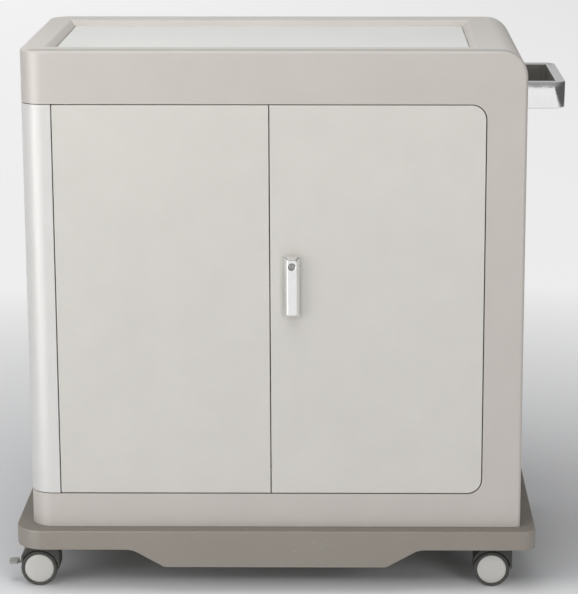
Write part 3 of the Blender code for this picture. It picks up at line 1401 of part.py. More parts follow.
def build_caster_plate(name, place, finish):
    """Top plate with its race and the stem that the hood turns on."""
    under = CASTER_HEIGHT - CASTER_PLATE_THICKNESS
    stem_end = WHEEL_RADIUS * 2 + HOOD_GAP + SEAT_GAP * 3
    race_bottom = hood_top() + SEAT_GAP
    half = CASTER_PLATE / 2
    mesh = bmesh.new()
    block(mesh, place[0] - half, place[0] + half, place[1] - half, place[1] + half, under, CASTER_HEIGHT)
    plate = add_object(f"{name}_caster_plate", mesh, finish)
    stem = bmesh.new()
    profile = [(0, stem_end), (STEM_RADIUS, stem_end), (STEM_RADIUS, race_bottom),
               (RACE_RADIUS, race_bottom), (RACE_RADIUS, under + CASTER_PLATE_THICKNESS / 2),
               (0, under + CASTER_PLATE_THICKNESS / 2)]
    turned(stem, profile, "Z", place, PIN_SIDES + 4)
    join(plate, stem, f"{name}_stem_joiner")


def build_caster(name, place, finishes, braked):
    """Swivelling hood with a pair of wheels on one axle, and a brake pedal on braked ones."""
    x, y = place
    carrier = f"{name}_swivel"
    add_pivot(carrier, (x, y, CASTER_HEIGHT))
    axle = (x - CASTER_TRAIL, WHEEL_RADIUS)
    top = hood_top()
    foot = WHEEL_RADIUS - HOOD_FOOT
    outline = rounded([
        (axle[0] + HOOD_FOOT, foot, HOOD_FOOT_RADIUS), (axle[0] + HOOD_BACK, WHEEL_RADIUS, HOOD_FOOT_RADIUS),
        (axle[0] + HOOD_BACK, top, HOOD_BACK_RADIUS),
        (axle[0] - HOOD_FRONT + HOOD_SLOPE_RUN, top, HOOD_SLOPE_RADIUS),
        (axle[0] - HOOD_FRONT, top - HOOD_SLOPE_DROP, HOOD_SLOPE_RADIUS),
        (axle[0] - HOOD_FRONT, WHEEL_RADIUS, HOOD_FOOT_RADIUS),
        (axle[0] - HOOD_FOOT, foot, HOOD_FOOT_RADIUS)], SMALL_STEPS)
    shell = bmesh.new()
    prism(shell, outline, "Y", y - HOOD_WIDTH / 2, y + HOOD_WIDTH / 2)

    def is_side_edge(edge):
        ends = [abs(vertex.co.y - y) for vertex in edge.verts]
        return min(ends) > HOOD_WIDTH / 2 - SEAT_GAP and abs(ends[0] - ends[1]) < SEAT_GAP and is_sharp(edge)

    bmesh.ops.recalc_face_normals(shell, faces=shell.faces)
    soften(shell, HOOD_EDGE, 1, is_side_edge)
    hood = add_object(f"{name}_hood", shell, finishes["hood_plastic"], carrier, smooth=True)
    wells = bmesh.new()
    for side in (-1, 1):
        low, high = sorted((y + side * WEB_THICKNESS / 2, y + side * (HOOD_WIDTH / 2 + CUT_OVERRUN)))
        drum(wells, "Y", axle, WHEEL_RADIUS + HOOD_GAP, low, high, ROUND_SIDES)
    cut(hood, wells, f"{name}_well_cutter", carrier)
    bores = bmesh.new()
    drum(bores, "Z", place, STEM_RADIUS + STEM_BORE_CLEARANCE, WHEEL_RADIUS * 2 + HOOD_GAP + SEAT_GAP,
         hood_top() + CUT_OVERRUN, PIN_SIDES + 4)
    drum(bores, "Y", axle, AXLE_RADIUS + AXLE_CLEARANCE, y - WEB_THICKNESS, y + WEB_THICKNESS, PIN_SIDES)
    cut(hood, bores, f"{name}_bore_cutter", carrier)
    if braked:
        build_pedal(name, place, hood, finishes["wheel_grey"])

    spin = f"{name}_axle"
    add_pivot(spin, (axle[0], y, axle[1]), carrier)
    bore = WHEEL_RADIUS - TYRE_DEPTH
    half = WHEEL_WIDTH / 2
    shoulder = WHEEL_RADIUS - TYRE_SHOULDER
    for side, label in ((-1, "front"), (1, "rear")):
        middle = y + side * WHEEL_CENTRE_OUT
        flat = half - TYRE_SHOULDER
        profile = [(bore, middle - half), (shoulder, middle - half), (WHEEL_RADIUS, middle - flat),
                   (WHEEL_RADIUS, middle + flat), (shoulder, middle + half), (bore, middle + half)]
        tyre = bmesh.new()
        turned(tyre, profile, "Y", axle, ROUND_SIDES, closed=True)
        add_object(f"{name}_{label}_tyre", tyre, finishes["tyre_rubber"], spin, smooth=True)
    hub = bmesh.new()
    rim = bore - SEAT_GAP * 2
    inner = WHEEL_CENTRE_OUT - WHEEL_WIDTH / 2
    outer = WHEEL_CENTRE_OUT + WHEEL_WIDTH / 2
    half_profile = [(AXLE_RADIUS, inner), (rim, inner), (rim, outer - HUB_RIM_THICKNESS),
                    (rim - HUB_RIM_THICKNESS, outer), (rim / 2, outer + HUB_DISH), (0, outer + HUB_DISH)]
    profile = [(radius, y - along) for radius, along in half_profile[::-1]]
    profile += [(radius, y + along) for radius, along in half_profile]
    turned(hub, profile, "Y", axle, ROUND_SIDES)
    add_object(f"{name}_wheel_core", hub, finishes["wheel_grey"], spin, smooth=True)


def build_pedal(name, place, hood, finish):
    """Brake pedal: a pad behind the wheels on an arm that pivots in a slot in the hood's web."""
    x, y = place
    pivot = (x - PEDAL_PIVOT_BACK, PEDAL_PIVOT_RISE)
    carrier = f"{name}_brake_axis"
    add_pivot(carrier, (pivot[0], y, pivot[1]), f"{name}_swivel")
    half = PEDAL_THICKNESS / 2
    pad_start = x - PEDAL_REACH + PEDAL_PAD_LENGTH
    arm = bmesh.new()
    block(arm, pad_start - PEDAL_PAD_LENGTH / 2, pivot[0] + PEDAL_TAIL, y - PEDAL_ARM_WIDTH / 2,
          y + PEDAL_ARM_WIDTH / 2, pivot[1] - half, pivot[1] + half)
    pedal = add_object(f"{name}_brake_pedal", arm, finish, carrier)
    pad = bmesh.new()
    lift = PEDAL_THICKNESS / 2
    outline = rounded([(x - PEDAL_REACH, y - PEDAL_PAD_WIDTH / 2, half * 3),
                       (pad_start, y - PEDAL_PAD_WIDTH / 2, half),
                       (pad_start, y + PEDAL_PAD_WIDTH / 2, half),
                       (x - PEDAL_REACH, y + PEDAL_PAD_WIDTH / 2, half * 3)], SMALL_STEPS)
    prism(pad, outline, "Z", pivot[1] - half + lift / 2, pivot[1] + half + lift)
    join(pedal, pad, f"{name}_pad_joiner", carrier)
    pin = bmesh.new()
    reach = PEDAL_PIN_LENGTH / 2
    drum(pin, "Y", pivot, PEDAL_PIN_RADIUS, y - reach, y + reach, PIN_SIDES)
    join(pedal, pin, f"{name}_pedal_pin_joiner", carrier)
    bore = bmesh.new()
    drum(bore, "Y", pivot, PEDAL_PIN_RADIUS + SEAT_GAP, y - WEB_THICKNESS, y + WEB_THICKNESS, PIN_SIDES)
    cut(hood, bore, f"{name}_pedal_pin_cutter", f"{name}_swivel")
    slot = bmesh.new()
    block(slot, x - CASTER_TRAIL - HOOD_FRONT - CUT_OVERRUN, pivot[0] + PEDAL_TAIL + SEAT_GAP * 3,
          y - PEDAL_ARM_WIDTH / 2 - SEAT_GAP, y + PEDAL_ARM_WIDTH / 2 + SEAT_GAP,
          pivot[1] - PEDAL_TRAVEL_ROOM, pivot[1] + PEDAL_TRAVEL_ROOM)
    cut(hood, slot, f"{name}_pedal_slot_cutter", f"{name}_swivel")


def build_trolley():
    """Make every piece of the trolley."""
    clear_scene()
    finishes = make_materials()
    add_pivot("trolley", (BODY_SHIFT, 0, 0), None)
    build_outer_frame(finishes["frame_paint"])
    build_left_side_panel(finishes["column_paint"])
    build_top_insert(finishes["insert_paint"])
    build_lining(finishes["lining_steel"])
    build_shelf("lower_shelf", LOWER_SHELF_TOP, finishes["lining_steel"], False)
    build_shelf("upper_shelf", UPPER_SHELF_TOP, finishes["lining_steel"], True)
    for tier, level in (("lower", LOWER_SHELF_TOP), ("upper", UPPER_SHELF_TOP)):
        build_dividers(f"{tier}_dividers", level, finishes["divider_plastic"])
        build_partition(f"{tier}_partition", level, finishes["lining_steel"])
    for side in ("left", "right"):
        build_front_door(side, finishes)
    build_bolt(finishes["zinc_steel"])
    build_lock(finishes)
    build_rear_panels(finishes["frame_paint"])
    build_rear_doors(finishes)
    build_rear_lock(finishes["zinc_steel"])
    build_fans(finishes)
    build_power_strips(finishes["black_plastic"])
    build_control_box(finishes["black_plastic"])
    build_leads(finishes["lead_cover"])
    build_inlet(finishes)
    build_push_handle(finishes["chrome"])
    build_plinth(finishes["plinth_plastic"])
    build_chassis(finishes["zinc_steel"])
    for name, place in caster_places().items():
        build_caster_plate(name, place, finishes["zinc_steel"])
        build_caster(name, place, finishes, braked=place[0] < 0)


build_trolley()
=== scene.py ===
"""Laptop charging trolley: a cabinet on twin-wheel casters, with two doors in front, louvred
service doors behind, and a chrome push handle at the right end. Metres, front towards -Y."""

import math

import bmesh
import bpy
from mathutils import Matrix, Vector


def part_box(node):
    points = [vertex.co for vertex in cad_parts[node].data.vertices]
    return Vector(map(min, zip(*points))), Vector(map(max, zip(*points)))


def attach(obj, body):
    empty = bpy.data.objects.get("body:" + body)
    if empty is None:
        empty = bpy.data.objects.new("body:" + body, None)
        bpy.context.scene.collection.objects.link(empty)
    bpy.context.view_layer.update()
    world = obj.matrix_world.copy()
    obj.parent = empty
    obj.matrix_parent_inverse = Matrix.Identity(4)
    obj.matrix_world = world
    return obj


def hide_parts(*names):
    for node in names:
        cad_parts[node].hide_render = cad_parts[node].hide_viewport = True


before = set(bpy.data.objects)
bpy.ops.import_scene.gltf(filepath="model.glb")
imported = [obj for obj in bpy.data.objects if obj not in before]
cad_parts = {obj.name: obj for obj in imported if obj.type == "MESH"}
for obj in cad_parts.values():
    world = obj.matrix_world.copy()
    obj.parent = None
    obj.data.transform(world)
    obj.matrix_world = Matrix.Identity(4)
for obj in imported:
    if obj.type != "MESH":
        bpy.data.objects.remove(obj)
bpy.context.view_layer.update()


def add_object(name, data):
    """New object, linked to the scene."""
    added = bpy.data.objects.new(name, data)
    bpy.context.scene.collection.objects.link(added)
    return added


# Camera. It stands five metres in front of the trolley, higher than its top, and looks
# slightly down at the doors through a long lens.

camera_data = bpy.data.cameras.new("camera")
camera_data.lens = 145.8
camera_data.sensor_width = 36
camera_data.shift_x = -0.0763
camera = add_object("camera", camera_data)
camera.location = (0.13277, -4.96517, 1.72675)
camera.rotation_euler = (math.radians(76.70), 0, math.radians(0.356))
bpy.context.scene.camera = camera
bpy.context.scene.view_settings.view_transform = "Standard"


# Studio floor. A wide sheet of pale paper. Near the trolley it takes the lamps and the shadow;
# further out the camera and the chrome see an even tone, a little lighter at the far left. Light and
# shade are also painted into it: a slightly darker right side, a lighter band in front of the trolley,
# and a pool of light at the front left that only the chrome sees.

FLOOR_RADIUS = 30
FLOOR_DROP = 0.0004
TONE_PLACE = 3.2
TONE_LEVEL = 0.847
TONE_FALL_ACROSS = -0.0081
TONE_FALL_BACK = -0.0016
TONE_TWIST = -0.0028
PAINTED_LIGHT_POOL = (-1.5, -1.5, 0.0)


def shown(red, green, blue):
    """Colour given as it shows on a screen, as the linear values that a shader takes."""
    shares = [value / 255 for value in (red, green, blue)]
    return tuple(share / 12.92 if share <= 0.04045 else ((share + 0.055) / 1.055) ** 2.4
                 for share in shares) + (1,)


def feed(tree, node, values):
    """Set a node's inputs to numbers or colours, or join them to other nodes' outputs."""
    for socket, value in values.items():
        if isinstance(value, bpy.types.NodeSocket):
            tree.links.new(value, node.inputs[socket])
        else:
            node.inputs[socket].default_value = value


def add_node(tree, kind, values=None, **settings):
    """Shader node with its settings, fed with its values."""
    node = tree.nodes.new(f"ShaderNode{kind}")
    for name, setting in settings.items():
        setattr(node, name, setting)
    feed(tree, node, values or {})
    return node


def new_finish(name):
    """New material, with its node tree and its shader."""
    finish = bpy.data.materials.new(name)
    finish.use_nodes = True
    return finish, finish.node_tree, finish.node_tree.nodes["Principled BSDF"]


def ramp(tree, value, start, end, low=0.0, high=1.0):
    """Output that goes from low to high as a value goes from start to end, and stays between them."""
    return add_node(tree, "MapRange", {"Value": value, "From Min": start, "From Max": end, "To Min": low,
                                       "To Max": high}).outputs["Result"]


def reckon(tree, operation, *values):
    """Output of a sum on numbers and on other nodes' outputs."""
    return add_node(tree, "Math", dict(enumerate(values)), operation=operation).outputs[0]


def mix_colour(tree, share, under, over):
    """Colour that goes from one to another by a share from 0 to 1."""
    return add_node(tree, "Mix", {"Factor": share, "A": under, "B": over}, data_type="RGBA").outputs["Result"]


def mottle(tree, place, scale, detail, roughness=0.5):
    """Soft irregular spots from 0 to 1."""
    return add_node(tree, "TexNoise", {"Vector": place, "Scale": scale, "Detail": detail,
                                       "Roughness": roughness}).outputs["Fac"]


paper, tree, lit = new_finish("floor_paper")
place = add_node(tree, "TexCoord").outputs["Object"]
relief = add_node(tree, "Bump", {"Height": mottle(tree, place, 900.0, 2.0), "Strength": 0.15,
                                 "Distance": 0.0002})
parts = add_node(tree, "SeparateXYZ", {"Vector": place})
floor_x, floor_y = parts.outputs["X"], parts.outputs["Y"]
# Painted shade: the paper's colour goes slightly darker towards the right, where the trolley's shadow falls.
base = mix_colour(tree, ramp(tree, floor_x, -0.6, 0.6), shown(213, 214, 216), shown(210, 211, 213))
feed(tree, lit, {"Base Color": base, "Roughness": 0.75, "Normal": relief.outputs["Normal"]})
depth = reckon(tree, "SUBTRACT", floor_y, TONE_PLACE)
slant = reckon(tree, "MULTIPLY_ADD", depth, TONE_TWIST, TONE_FALL_ACROSS)
across = reckon(tree, "MULTIPLY_ADD", floor_x, slant, TONE_LEVEL)
tone = reckon(tree, "MULTIPLY_ADD", depth, TONE_FALL_BACK, across)
kept = reckon(tree, "MINIMUM", tone, ramp(tree, floor_x, 3.0, 4.6, 0.92, 0.1))
away = add_node(tree, "VectorMath", {0: place}, operation="LENGTH").outputs["Value"]
# Painted light: just in front of the trolley up to about half of the even tone is blended in, which lightens
# the shadow there.
even_share = reckon(tree, "MAXIMUM", ramp(tree, away, 0.7, 2.6), ramp(tree, floor_y, -0.2, -0.36, 0.0, 0.55))
ray = add_node(tree, "LightPath").outputs
# Painted light: a pool of light on the floor at the front left, seen only in glossy reflections, which
# carries the highlight down the cabinet's left corner.
beside = add_node(tree, "VectorMath", {0: place, 1: PAINTED_LIGHT_POOL}, operation="DISTANCE").outputs["Value"]
painted_pool = ramp(tree, beside, 1.3, 0.5, 0.0, 0.8)
glow = reckon(tree, "MULTIPLY_ADD", painted_pool, ray["Is Glossy Ray"], kept)
even = add_node(tree, "Emission", {"Color": glow})
seen = reckon(tree, "ADD", ray["Is Camera Ray"], ray["Is Glossy Ray"])
any_ray = add_node(tree, "Math", {0: seen, 1: ray["Is Transmission Ray"]}, operation="ADD", use_clamp=True)
share = reckon(tree, "MULTIPLY", even_share, any_ray.outputs[0])
both = add_node(tree, "MixShader", {"Fac": share, 1: lit.outputs[0], 2: even.outputs[0]})
tree.links.new(both.outputs[0], tree.nodes["Material Output"].inputs["Surface"])

sheet = bmesh.new()
bmesh.ops.create_circle(sheet, cap_ends=True, segments=128, radius=FLOOR_RADIUS)
floor_mesh = bpy.data.meshes.new("floor")
sheet.to_mesh(floor_mesh)
sheet.free()
floor_mesh.materials.append(paper)
floor = add_object("floor", floor_mesh)
floor.location.z = -FLOOR_DROP


# Studio light. A tall soft box on the left and a card beside it draw the long highlight down the
# left corner. A key and a fill stand in front, and two wide boxes hang above. The walls are pale
# at the upper left and behind, and darker on the right.

LIGHT_WALL = (-0.45, -0.45, 0.77)

world = bpy.data.worlds.new("studio_walls")
world.use_nodes = True
bpy.context.scene.world = world
tree = world.node_tree
look = add_node(tree, "TexCoord").outputs["Generated"]
facing = add_node(tree, "VectorMath", {0: look, 1: LIGHT_WALL}, operation="DOT_PRODUCT").outputs["Value"]
wall = ramp(tree, facing, -0.7, 1.0, 0.08, 0.42)
back = add_node(tree, "SeparateXYZ", {"Vector": look}).outputs["Y"]
level = reckon(tree, "ADD", wall, ramp(tree, back, 0.7, 0.97, 0.0, 0.35))
feed(tree, tree.nodes["Background"], {"Color": level, "Strength": 1.0})


def add_soft_box(name, place, aim, wide, high, watts, matt=True, gloss=True):
    """Rectangular lamp turned to face a point; it can be kept off matt or glossy surfaces."""
    lamp_data = bpy.data.lights.new(name, "AREA")
    lamp_data.shape = "RECTANGLE"
    lamp_data.size = wide
    lamp_data.size_y = high
    lamp_data.energy = watts
    lamp = add_object(name, lamp_data)
    lamp.location = place
    lamp.rotation_euler = (Vector(aim) - Vector(place)).to_track_quat("-Z", "Y").to_euler()
    lamp.visible_camera = False
    lamp.visible_diffuse = matt
    lamp.visible_glossy = gloss


add_soft_box("left_soft_box", (-2.45, -1.75, 1.0), (-0.5, -0.2, 0.8), 1.4, 2.0, 20)
add_soft_box("corner_card", (-1.33, -1.29, 0.95), (-0.5, -0.27, 0.95), 1.1, 1.9, 11, matt=False)
add_soft_box("key_soft_box", (-1.6, -4.2, 2.6), (0, 0, 0.5), 1.4, 1.4, 14)
add_soft_box("fill_soft_box", (2.2, -3.6, 1.3), (0, 0, 0.6), 1.6, 1.6, 50, gloss=False)
add_soft_box("overhead_soft_box", (-0.6, 0.2, 3.4), (-0.3, 0.1, 0.6), 4.0, 4.0, 34, gloss=False)
add_soft_box("upper_soft_box", (-0.4, -1.1, 3.0), (0, 0, 1.0), 1.8, 1.8, 32, gloss=False)


# Outer frame. A C-shaped shell of satin painted moulding: top, right side and foot in one
# piece, round at the left corners and bent at the top right, with a recess in the top. A shape
# that cuts passes the faces that it cuts by the overrun.

TOP_BAND_BEND = 0.054
LEFT_CORNER = 0.046
FRAME_WALL = 0.004
FASCIA = 0.022
TOP_SKIN = 0.020
DOOR_GAP = 0.002
OPENING_CORNER = 0.031
RECESS_LEFT, RECESS_RIGHT, RECESS_FRONT, RECESS_REAR = 0.0535, 0.102, 0.0575, 0.074
RECESS_DROP = 0.0125
RECESS_RUN = 0.006
PANEL_SHEET = 0.003
SEAT = 0.0003
SHELL_RIM = 0.007
PIVOT_SETBACK = 0.007
SOCKET = 0.0035
SOCKET_DEPTH = 0.0115
OVERRUN = 0.01
RIM_SHADE_NEAR, RIM_SHADE_FAR = 0.008, 0.020
AXES = {"X": (2, 0, 1), "Y": (0, 2, 1), "Z": (0, 1, 2)}

frame_low, frame_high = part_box("outer_frame")
left_end, front_face, foot = frame_low
right_end, rear_face, top_face = frame_high
opening_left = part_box("left_door")[0].x - DOOR_GAP
opening_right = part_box("right_door")[1].x + DOOR_GAP
opening_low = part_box("left_door")[0].z - DOOR_GAP
opening_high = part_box("left_door")[1].z + DOOR_GAP


def centre_of(node):
    """Middle of a CAD node's box."""
    return [(low + high) / 2 for low, high in zip(*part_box(node))]


def arc(centre, radius, start, end, steps):
    """Points along an arc between two angles in degrees, both ends included."""
    angles = [math.radians(start + (end - start) * step / steps) for step in range(steps + 1)]
    return [(centre[0] + radius * math.cos(angle), centre[1] + radius * math.sin(angle)) for angle in angles]


def rounded_outline(corners, steps=10):
    """Outline through corners (across, up, radius), with an arc of that radius at each."""
    outline = []
    for index, (across, up, radius) in enumerate(corners):
        if radius == 0:
            outline.append((across, up))
            continue
        here = Vector((across, up))
        back = (Vector(corners[index - 1][:2]) - here).normalized()
        ahead = (Vector(corners[(index + 1) % len(corners)][:2]) - here).normalized()
        half = back.angle(ahead) / 2
        centre = here + (back + ahead).normalized() * radius / math.sin(half)
        start = here + back * radius / math.tan(half) - centre
        end = here + ahead * radius / math.tan(half) - centre
        first = math.atan2(start.y, start.x)
        turn = (math.atan2(end.y, end.x) - first + math.pi) % math.tau - math.pi
        outline += arc(centre, radius, math.degrees(first), math.degrees(first + turn), steps)
    return outline


def plate_outline(left, right, low, high, radii=(0, 0, 0, 0), inset=0, steps=10):
    """Rectangle with its own radius at each corner, bottom left first, going anticlockwise."""
    kept = [max(radius - inset, 0) if radius else 0 for radius in radii]
    return rounded_outline([(left + inset, low + inset, kept[0]), (right - inset, low + inset, kept[1]),
                            (right - inset, high - inset, kept[2]), (left + inset, high - inset, kept[3])],
                           steps)


def spot(axis, across, up, along):
    """Point from its two outline values and its place along the axis."""
    return Vector([(across, up, along)[index] for index in AXES[axis]])


def loft(shape, sections, axis):
    """Closed solid through outlines with as many points each, given as (outline, place)."""
    loops = [[shape.verts.new(spot(axis, across, up, along)) for across, up in outline]
             for outline, along in sections]
    for near, far in zip(loops, loops[1:]):
        for index in range(len(near)):
            after = (index + 1) % len(near)
            shape.faces.new((near[index], near[after], far[after], far[index]))
    shape.faces.new(loops[0][::-1])
    shape.faces.new(loops[-1])


def extrude(shape, outline, axis, start, end):
    """Closed solid with one outline between two planes."""
    loft(shape, [(outline, start), (outline, end)], axis)


def bar(shape, left, right, front, rear, low, high):
    """Straight bar between six planes."""
    extrude(shape, plate_outline(left, right, front, rear), "Z", low, high)


def rod(shape, axis, centre, radius, start, end, sides=40):
    """Round bar with flat ends."""
    extrude(shape, arc(centre, radius, 0, 360, sides)[:-1], axis, start, end)


def lathe(shape, profile, axis, centre, sides=64, ring=False):
    """Solid turned about an axis from (radius, place) points; ring joins the last to the first."""
    loops = []
    for radius, along in profile:
        points = [centre] if radius == 0 else arc(centre, radius, 0, 360, sides)[:-1]
        loops.append([shape.verts.new(spot(axis, across, up, along)) for across, up in points])
    for near, far in list(zip(loops, loops[1:])) + ([(loops[-1], loops[0])] if ring else []):
        for index in range(sides):
            after = (index + 1) % sides
            corners = [near[index % len(near)], near[after % len(near)], far[after % len(far)],
                       far[index % len(far)]]
            shape.faces.new(list(dict.fromkeys(corners)))


def round_edges(shape, width, segments, chosen):
    """Round the edges that a test picks."""
    bmesh.ops.recalc_face_normals(shape, faces=shape.faces)
    shape.normal_update()
    bmesh.ops.bevel(shape, geom=[edge for edge in shape.edges if chosen(edge)], offset=width,
                    segments=segments, profile=0.5, affect="EDGES", clamp_overlap=True)


def is_corner(edge, degrees=40):
    """Whether two faces meet at an edge at more than this angle."""
    return edge.is_manifold and edge.calc_face_angle() > math.radians(degrees)


def fit(name, shape, finish, body, slot, *nodes, crease=38):
    """Turn a shape into a piece that rides on its body and stands for its nodes."""
    bmesh.ops.recalc_face_normals(shape, faces=shape.faces)
    mesh = bpy.data.meshes.new(name)
    shape.to_mesh(mesh)
    shape.free()
    mesh.shade_smooth()
    mesh.set_sharp_from_angle(angle=math.radians(crease))
    mesh.materials.append(finish)
    piece = add_object(name, mesh)
    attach(piece, body)
    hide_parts(*nodes)
    return piece


def carve(piece, shape, operation="DIFFERENCE", crease=38):
    """Cut a shape out of a piece, or join it on, and keep the result as the piece's own mesh."""
    bmesh.ops.recalc_face_normals(shape, faces=shape.faces)
    tool_mesh = bpy.data.meshes.new("tool")
    shape.to_mesh(tool_mesh)
    shape.free()
    tool = add_object("tool", tool_mesh)
    modifier = piece.modifiers.new("carve", "BOOLEAN")
    modifier.operation = operation
    modifier.solver = "EXACT"
    modifier.object = tool
    bpy.context.view_layer.update()
    graph = bpy.context.evaluated_depsgraph_get()
    cut_mesh = bpy.data.meshes.new_from_object(piece.evaluated_get(graph))
    piece.modifiers.clear()
    uncut = piece.data
    name = uncut.name
    piece.data = cut_mesh
    bpy.data.meshes.remove(uncut)
    cut_mesh.name = name
    cut_mesh.shade_smooth()
    cut_mesh.set_sharp_from_angle(angle=math.radians(crease))
    bpy.data.objects.remove(tool, do_unlink=True)
    bpy.data.meshes.remove(tool_mesh)


def break_edges(piece, width, segments=2, degrees=38):
    """Take the sharpness off every edge that is left, as a mould or a deburring tool does."""
    modifier = piece.modifiers.new("broken_edges", "BEVEL")
    modifier.width = width
    modifier.segments = segments
    modifier.limit_method = "ANGLE"
    modifier.angle_limit = math.radians(degrees)
    modifier.miter_outer = "MITER_ARC"
    piece.modifiers.new("even_shading", "WEIGHTED_NORMAL").keep_sharp = True


def new_effect(name, inputs, outputs):
    """Shader node group for a surface effect, with number inputs and outputs."""
    group = bpy.data.node_groups.new(name, "ShaderNodeTree")
    for socket, value in inputs.items():
        given = group.interface.new_socket(socket, in_out="INPUT", socket_type="NodeSocketFloat")
        given.default_value = value
    for socket in outputs:
        group.interface.new_socket(socket, in_out="OUTPUT", socket_type="NodeSocketFloat")
    return group, group.nodes.new("NodeGroupInput"), group.nodes.new("NodeGroupOutput")


# Grain of a moulding or a powder coat: fine pimples, and a slow cloudiness in tone and gloss.
coat_grain, given, result = new_effect("coat_grain", {"Grain Size": 0.0012, "Cloud Size": 0.09},
                                       ("Height", "Tone", "Gloss"))
place = add_node(coat_grain, "TexCoord").outputs["Object"]
pimples = mottle(coat_grain, place, reckon(coat_grain, "DIVIDE", 1.0, given.outputs[0]), 2.0, 0.55)
clouds = mottle(coat_grain, place, reckon(coat_grain, "DIVIDE", 1.0, given.outputs[1]), 4.0, 0.6)
tone = ramp(coat_grain, clouds, 0.3, 0.7)
cloudy = reckon(coat_grain, "MULTIPLY", tone, 0.65)
spread = reckon(coat_grain, "MULTIPLY_ADD", ramp(coat_grain, pimples, 0.3, 0.7), 0.35, cloudy)
feed(coat_grain, result, {"Height": pimples, "Tone": spread, "Gloss": tone})

# Scuffs: short thin rubs, mostly level, that come in scattered patches.
scuffs, given, result = new_effect("scuffs", {"Amount": 0.3, "Width": 0.0008}, ("Mask",))
place = add_node(scuffs, "TexCoord").outputs["Object"]
drawn = add_node(scuffs, "Mapping", {"Vector": place, "Scale": (0.05, 0.05, 1.0),
                                     "Rotation": (0.0, 0.06, 0.0)}).outputs[0]
rubs = mottle(scuffs, drawn, reckon(scuffs, "DIVIDE", 1.0, given.outputs[1]), 1.0)
patches = mottle(scuffs, place, 9.0, 3.0)
both = reckon(scuffs, "MULTIPLY", ramp(scuffs, rubs, 0.66, 0.74), ramp(scuffs, patches, 0.52, 0.66))
feed(scuffs, result, {"Mask": reckon(scuffs, "MULTIPLY", both, given.outputs[0])})

# Dust: settles on faces that look up, and is thrown up from the floor on the lowest parts. The same mask also
# carries painted light: a painted sheen on the frame's tops and painted shade on the base tray's top.
dust_and_painted_light, given, result = new_effect("dust_and_painted_light", {"On Top": 0.1, "From Floor": 0.1}, ("Mask",))
held = add_node(dust_and_painted_light, "TexCoord").outputs
up = add_node(dust_and_painted_light, "SeparateXYZ", {"Vector": held["Normal"]}).outputs["Z"]
height = add_node(dust_and_painted_light, "SeparateXYZ", {"Vector": held["Object"]}).outputs["Z"]
uneven = ramp(dust_and_painted_light, mottle(dust_and_painted_light, held["Object"], 420.0, 5.0, 0.7), 0.38, 0.7)
settled = reckon(dust_and_painted_light, "MULTIPLY", ramp(dust_and_painted_light, up, 0.6, 1.0), given.outputs[0])
thrown = reckon(dust_and_painted_light, "MULTIPLY_ADD", ramp(dust_and_painted_light, height, 0.13, 0.0), given.outputs[1], settled)
feed(dust_and_painted_light, result, {"Mask": reckon(dust_and_painted_light, "MULTIPLY", thrown, uneven)})


def coat(name, colour, roughness, grain, relief, spread=0.03, scuffed=0.25, dust_and_painted_light_amounts=(0.1, 0.1), metallic=0.0,
         gloss_spread=0.05, shine=0.5, dust_and_painted_light_colour=shown(176, 170, 160)):
    """Painted or moulded finish: grain, slow changes of tone and gloss, scuffs, and dust whose mix also
    carries painted sheen and painted shade.
    """
    finish, tree, shader = new_finish(name)
    texture = add_node(tree, "Group", {"Grain Size": grain}, node_tree=coat_grain).outputs
    wear_and_painted_shade = add_node(tree, "Group", {"Amount": scuffed}, node_tree=scuffs).outputs["Mask"]
    on_top, from_floor = dust_and_painted_light_amounts
    dust_and_painted_light_mask = add_node(tree, "Group", {"On Top": on_top, "From Floor": from_floor}, node_tree=dust_and_painted_light).outputs[0]
    dark = tuple(value * (1 - spread) for value in colour[:3]) + (1,)
    light = tuple(min(value * (1 + spread), 1) for value in colour[:3]) + (1,)
    pale = tuple(value + (0.75 - value) * 0.5 for value in colour[:3]) + (1,)
    worn = mix_colour(tree, wear_and_painted_shade, mix_colour(tree, texture["Tone"], dark, light), pale)
    gloss = ramp(tree, texture["Gloss"], 0.0, 1.0, roughness - gloss_spread, roughness + gloss_spread)
    bump = add_node(tree, "Bump", {"Height": texture["Height"], "Strength": 1.0, "Distance": relief})
    feed(tree, shader, {"Base Color": mix_colour(tree, dust_and_painted_light_mask, worn, dust_and_painted_light_colour), "Metallic": metallic,
                        "Roughness": reckon(tree, "MULTIPLY_ADD", dust_and_painted_light_mask, 0.4, gloss),
                        "Specular IOR Level": shine, "Normal": bump.outputs["Normal"]})
    return finish


# Its tops get a pale film through the dust mix: partly dust, and partly painted sheen that lightens the faces
# that look up.
frame_coat = coat("frame_satin_grey", shown(187, 181, 175), 0.42, 0.0011, 0.00006, dust_and_painted_light_amounts=(0.6, 0.1),
                  shine=1.0, dust_and_painted_light_colour=shown(216, 216, 213))

# Painted shade: where faces look up, the frame is darkened over the last 20 mm before its front face, across
# the rounded top front edge, so that this edge reads dark and without its highlight.
tree = frame_coat.node_tree
held = add_node(tree, "TexCoord").outputs
depth = add_node(tree, "SeparateXYZ", {"Vector": held["Object"]}).outputs["Y"]
up = add_node(tree, "SeparateXYZ", {"Vector": held["Normal"]}).outputs["Z"]
rim_share = ramp(tree, depth, front_face + RIM_SHADE_FAR, front_face + RIM_SHADE_NEAR)
painted_rim_shade = reckon(tree, "MULTIPLY", rim_share, ramp(tree, up, 0.45, 0.9, 0.0, 0.85))
paint = tree.nodes["Principled BSDF"].inputs["Base Color"]
wear_and_painted_shade = mix_colour(tree, painted_rim_shade, paint.links[0].from_socket, shown(148, 146, 142))
tree.links.new(wear_and_painted_shade, paint)

shell = bmesh.new()
extrude(shell, rounded_outline([(left_end, foot, 0), (right_end, foot, 0),
                                (right_end, top_face, TOP_BAND_BEND), (left_end, top_face, 0)], 16),
        "Y", front_face, rear_face)


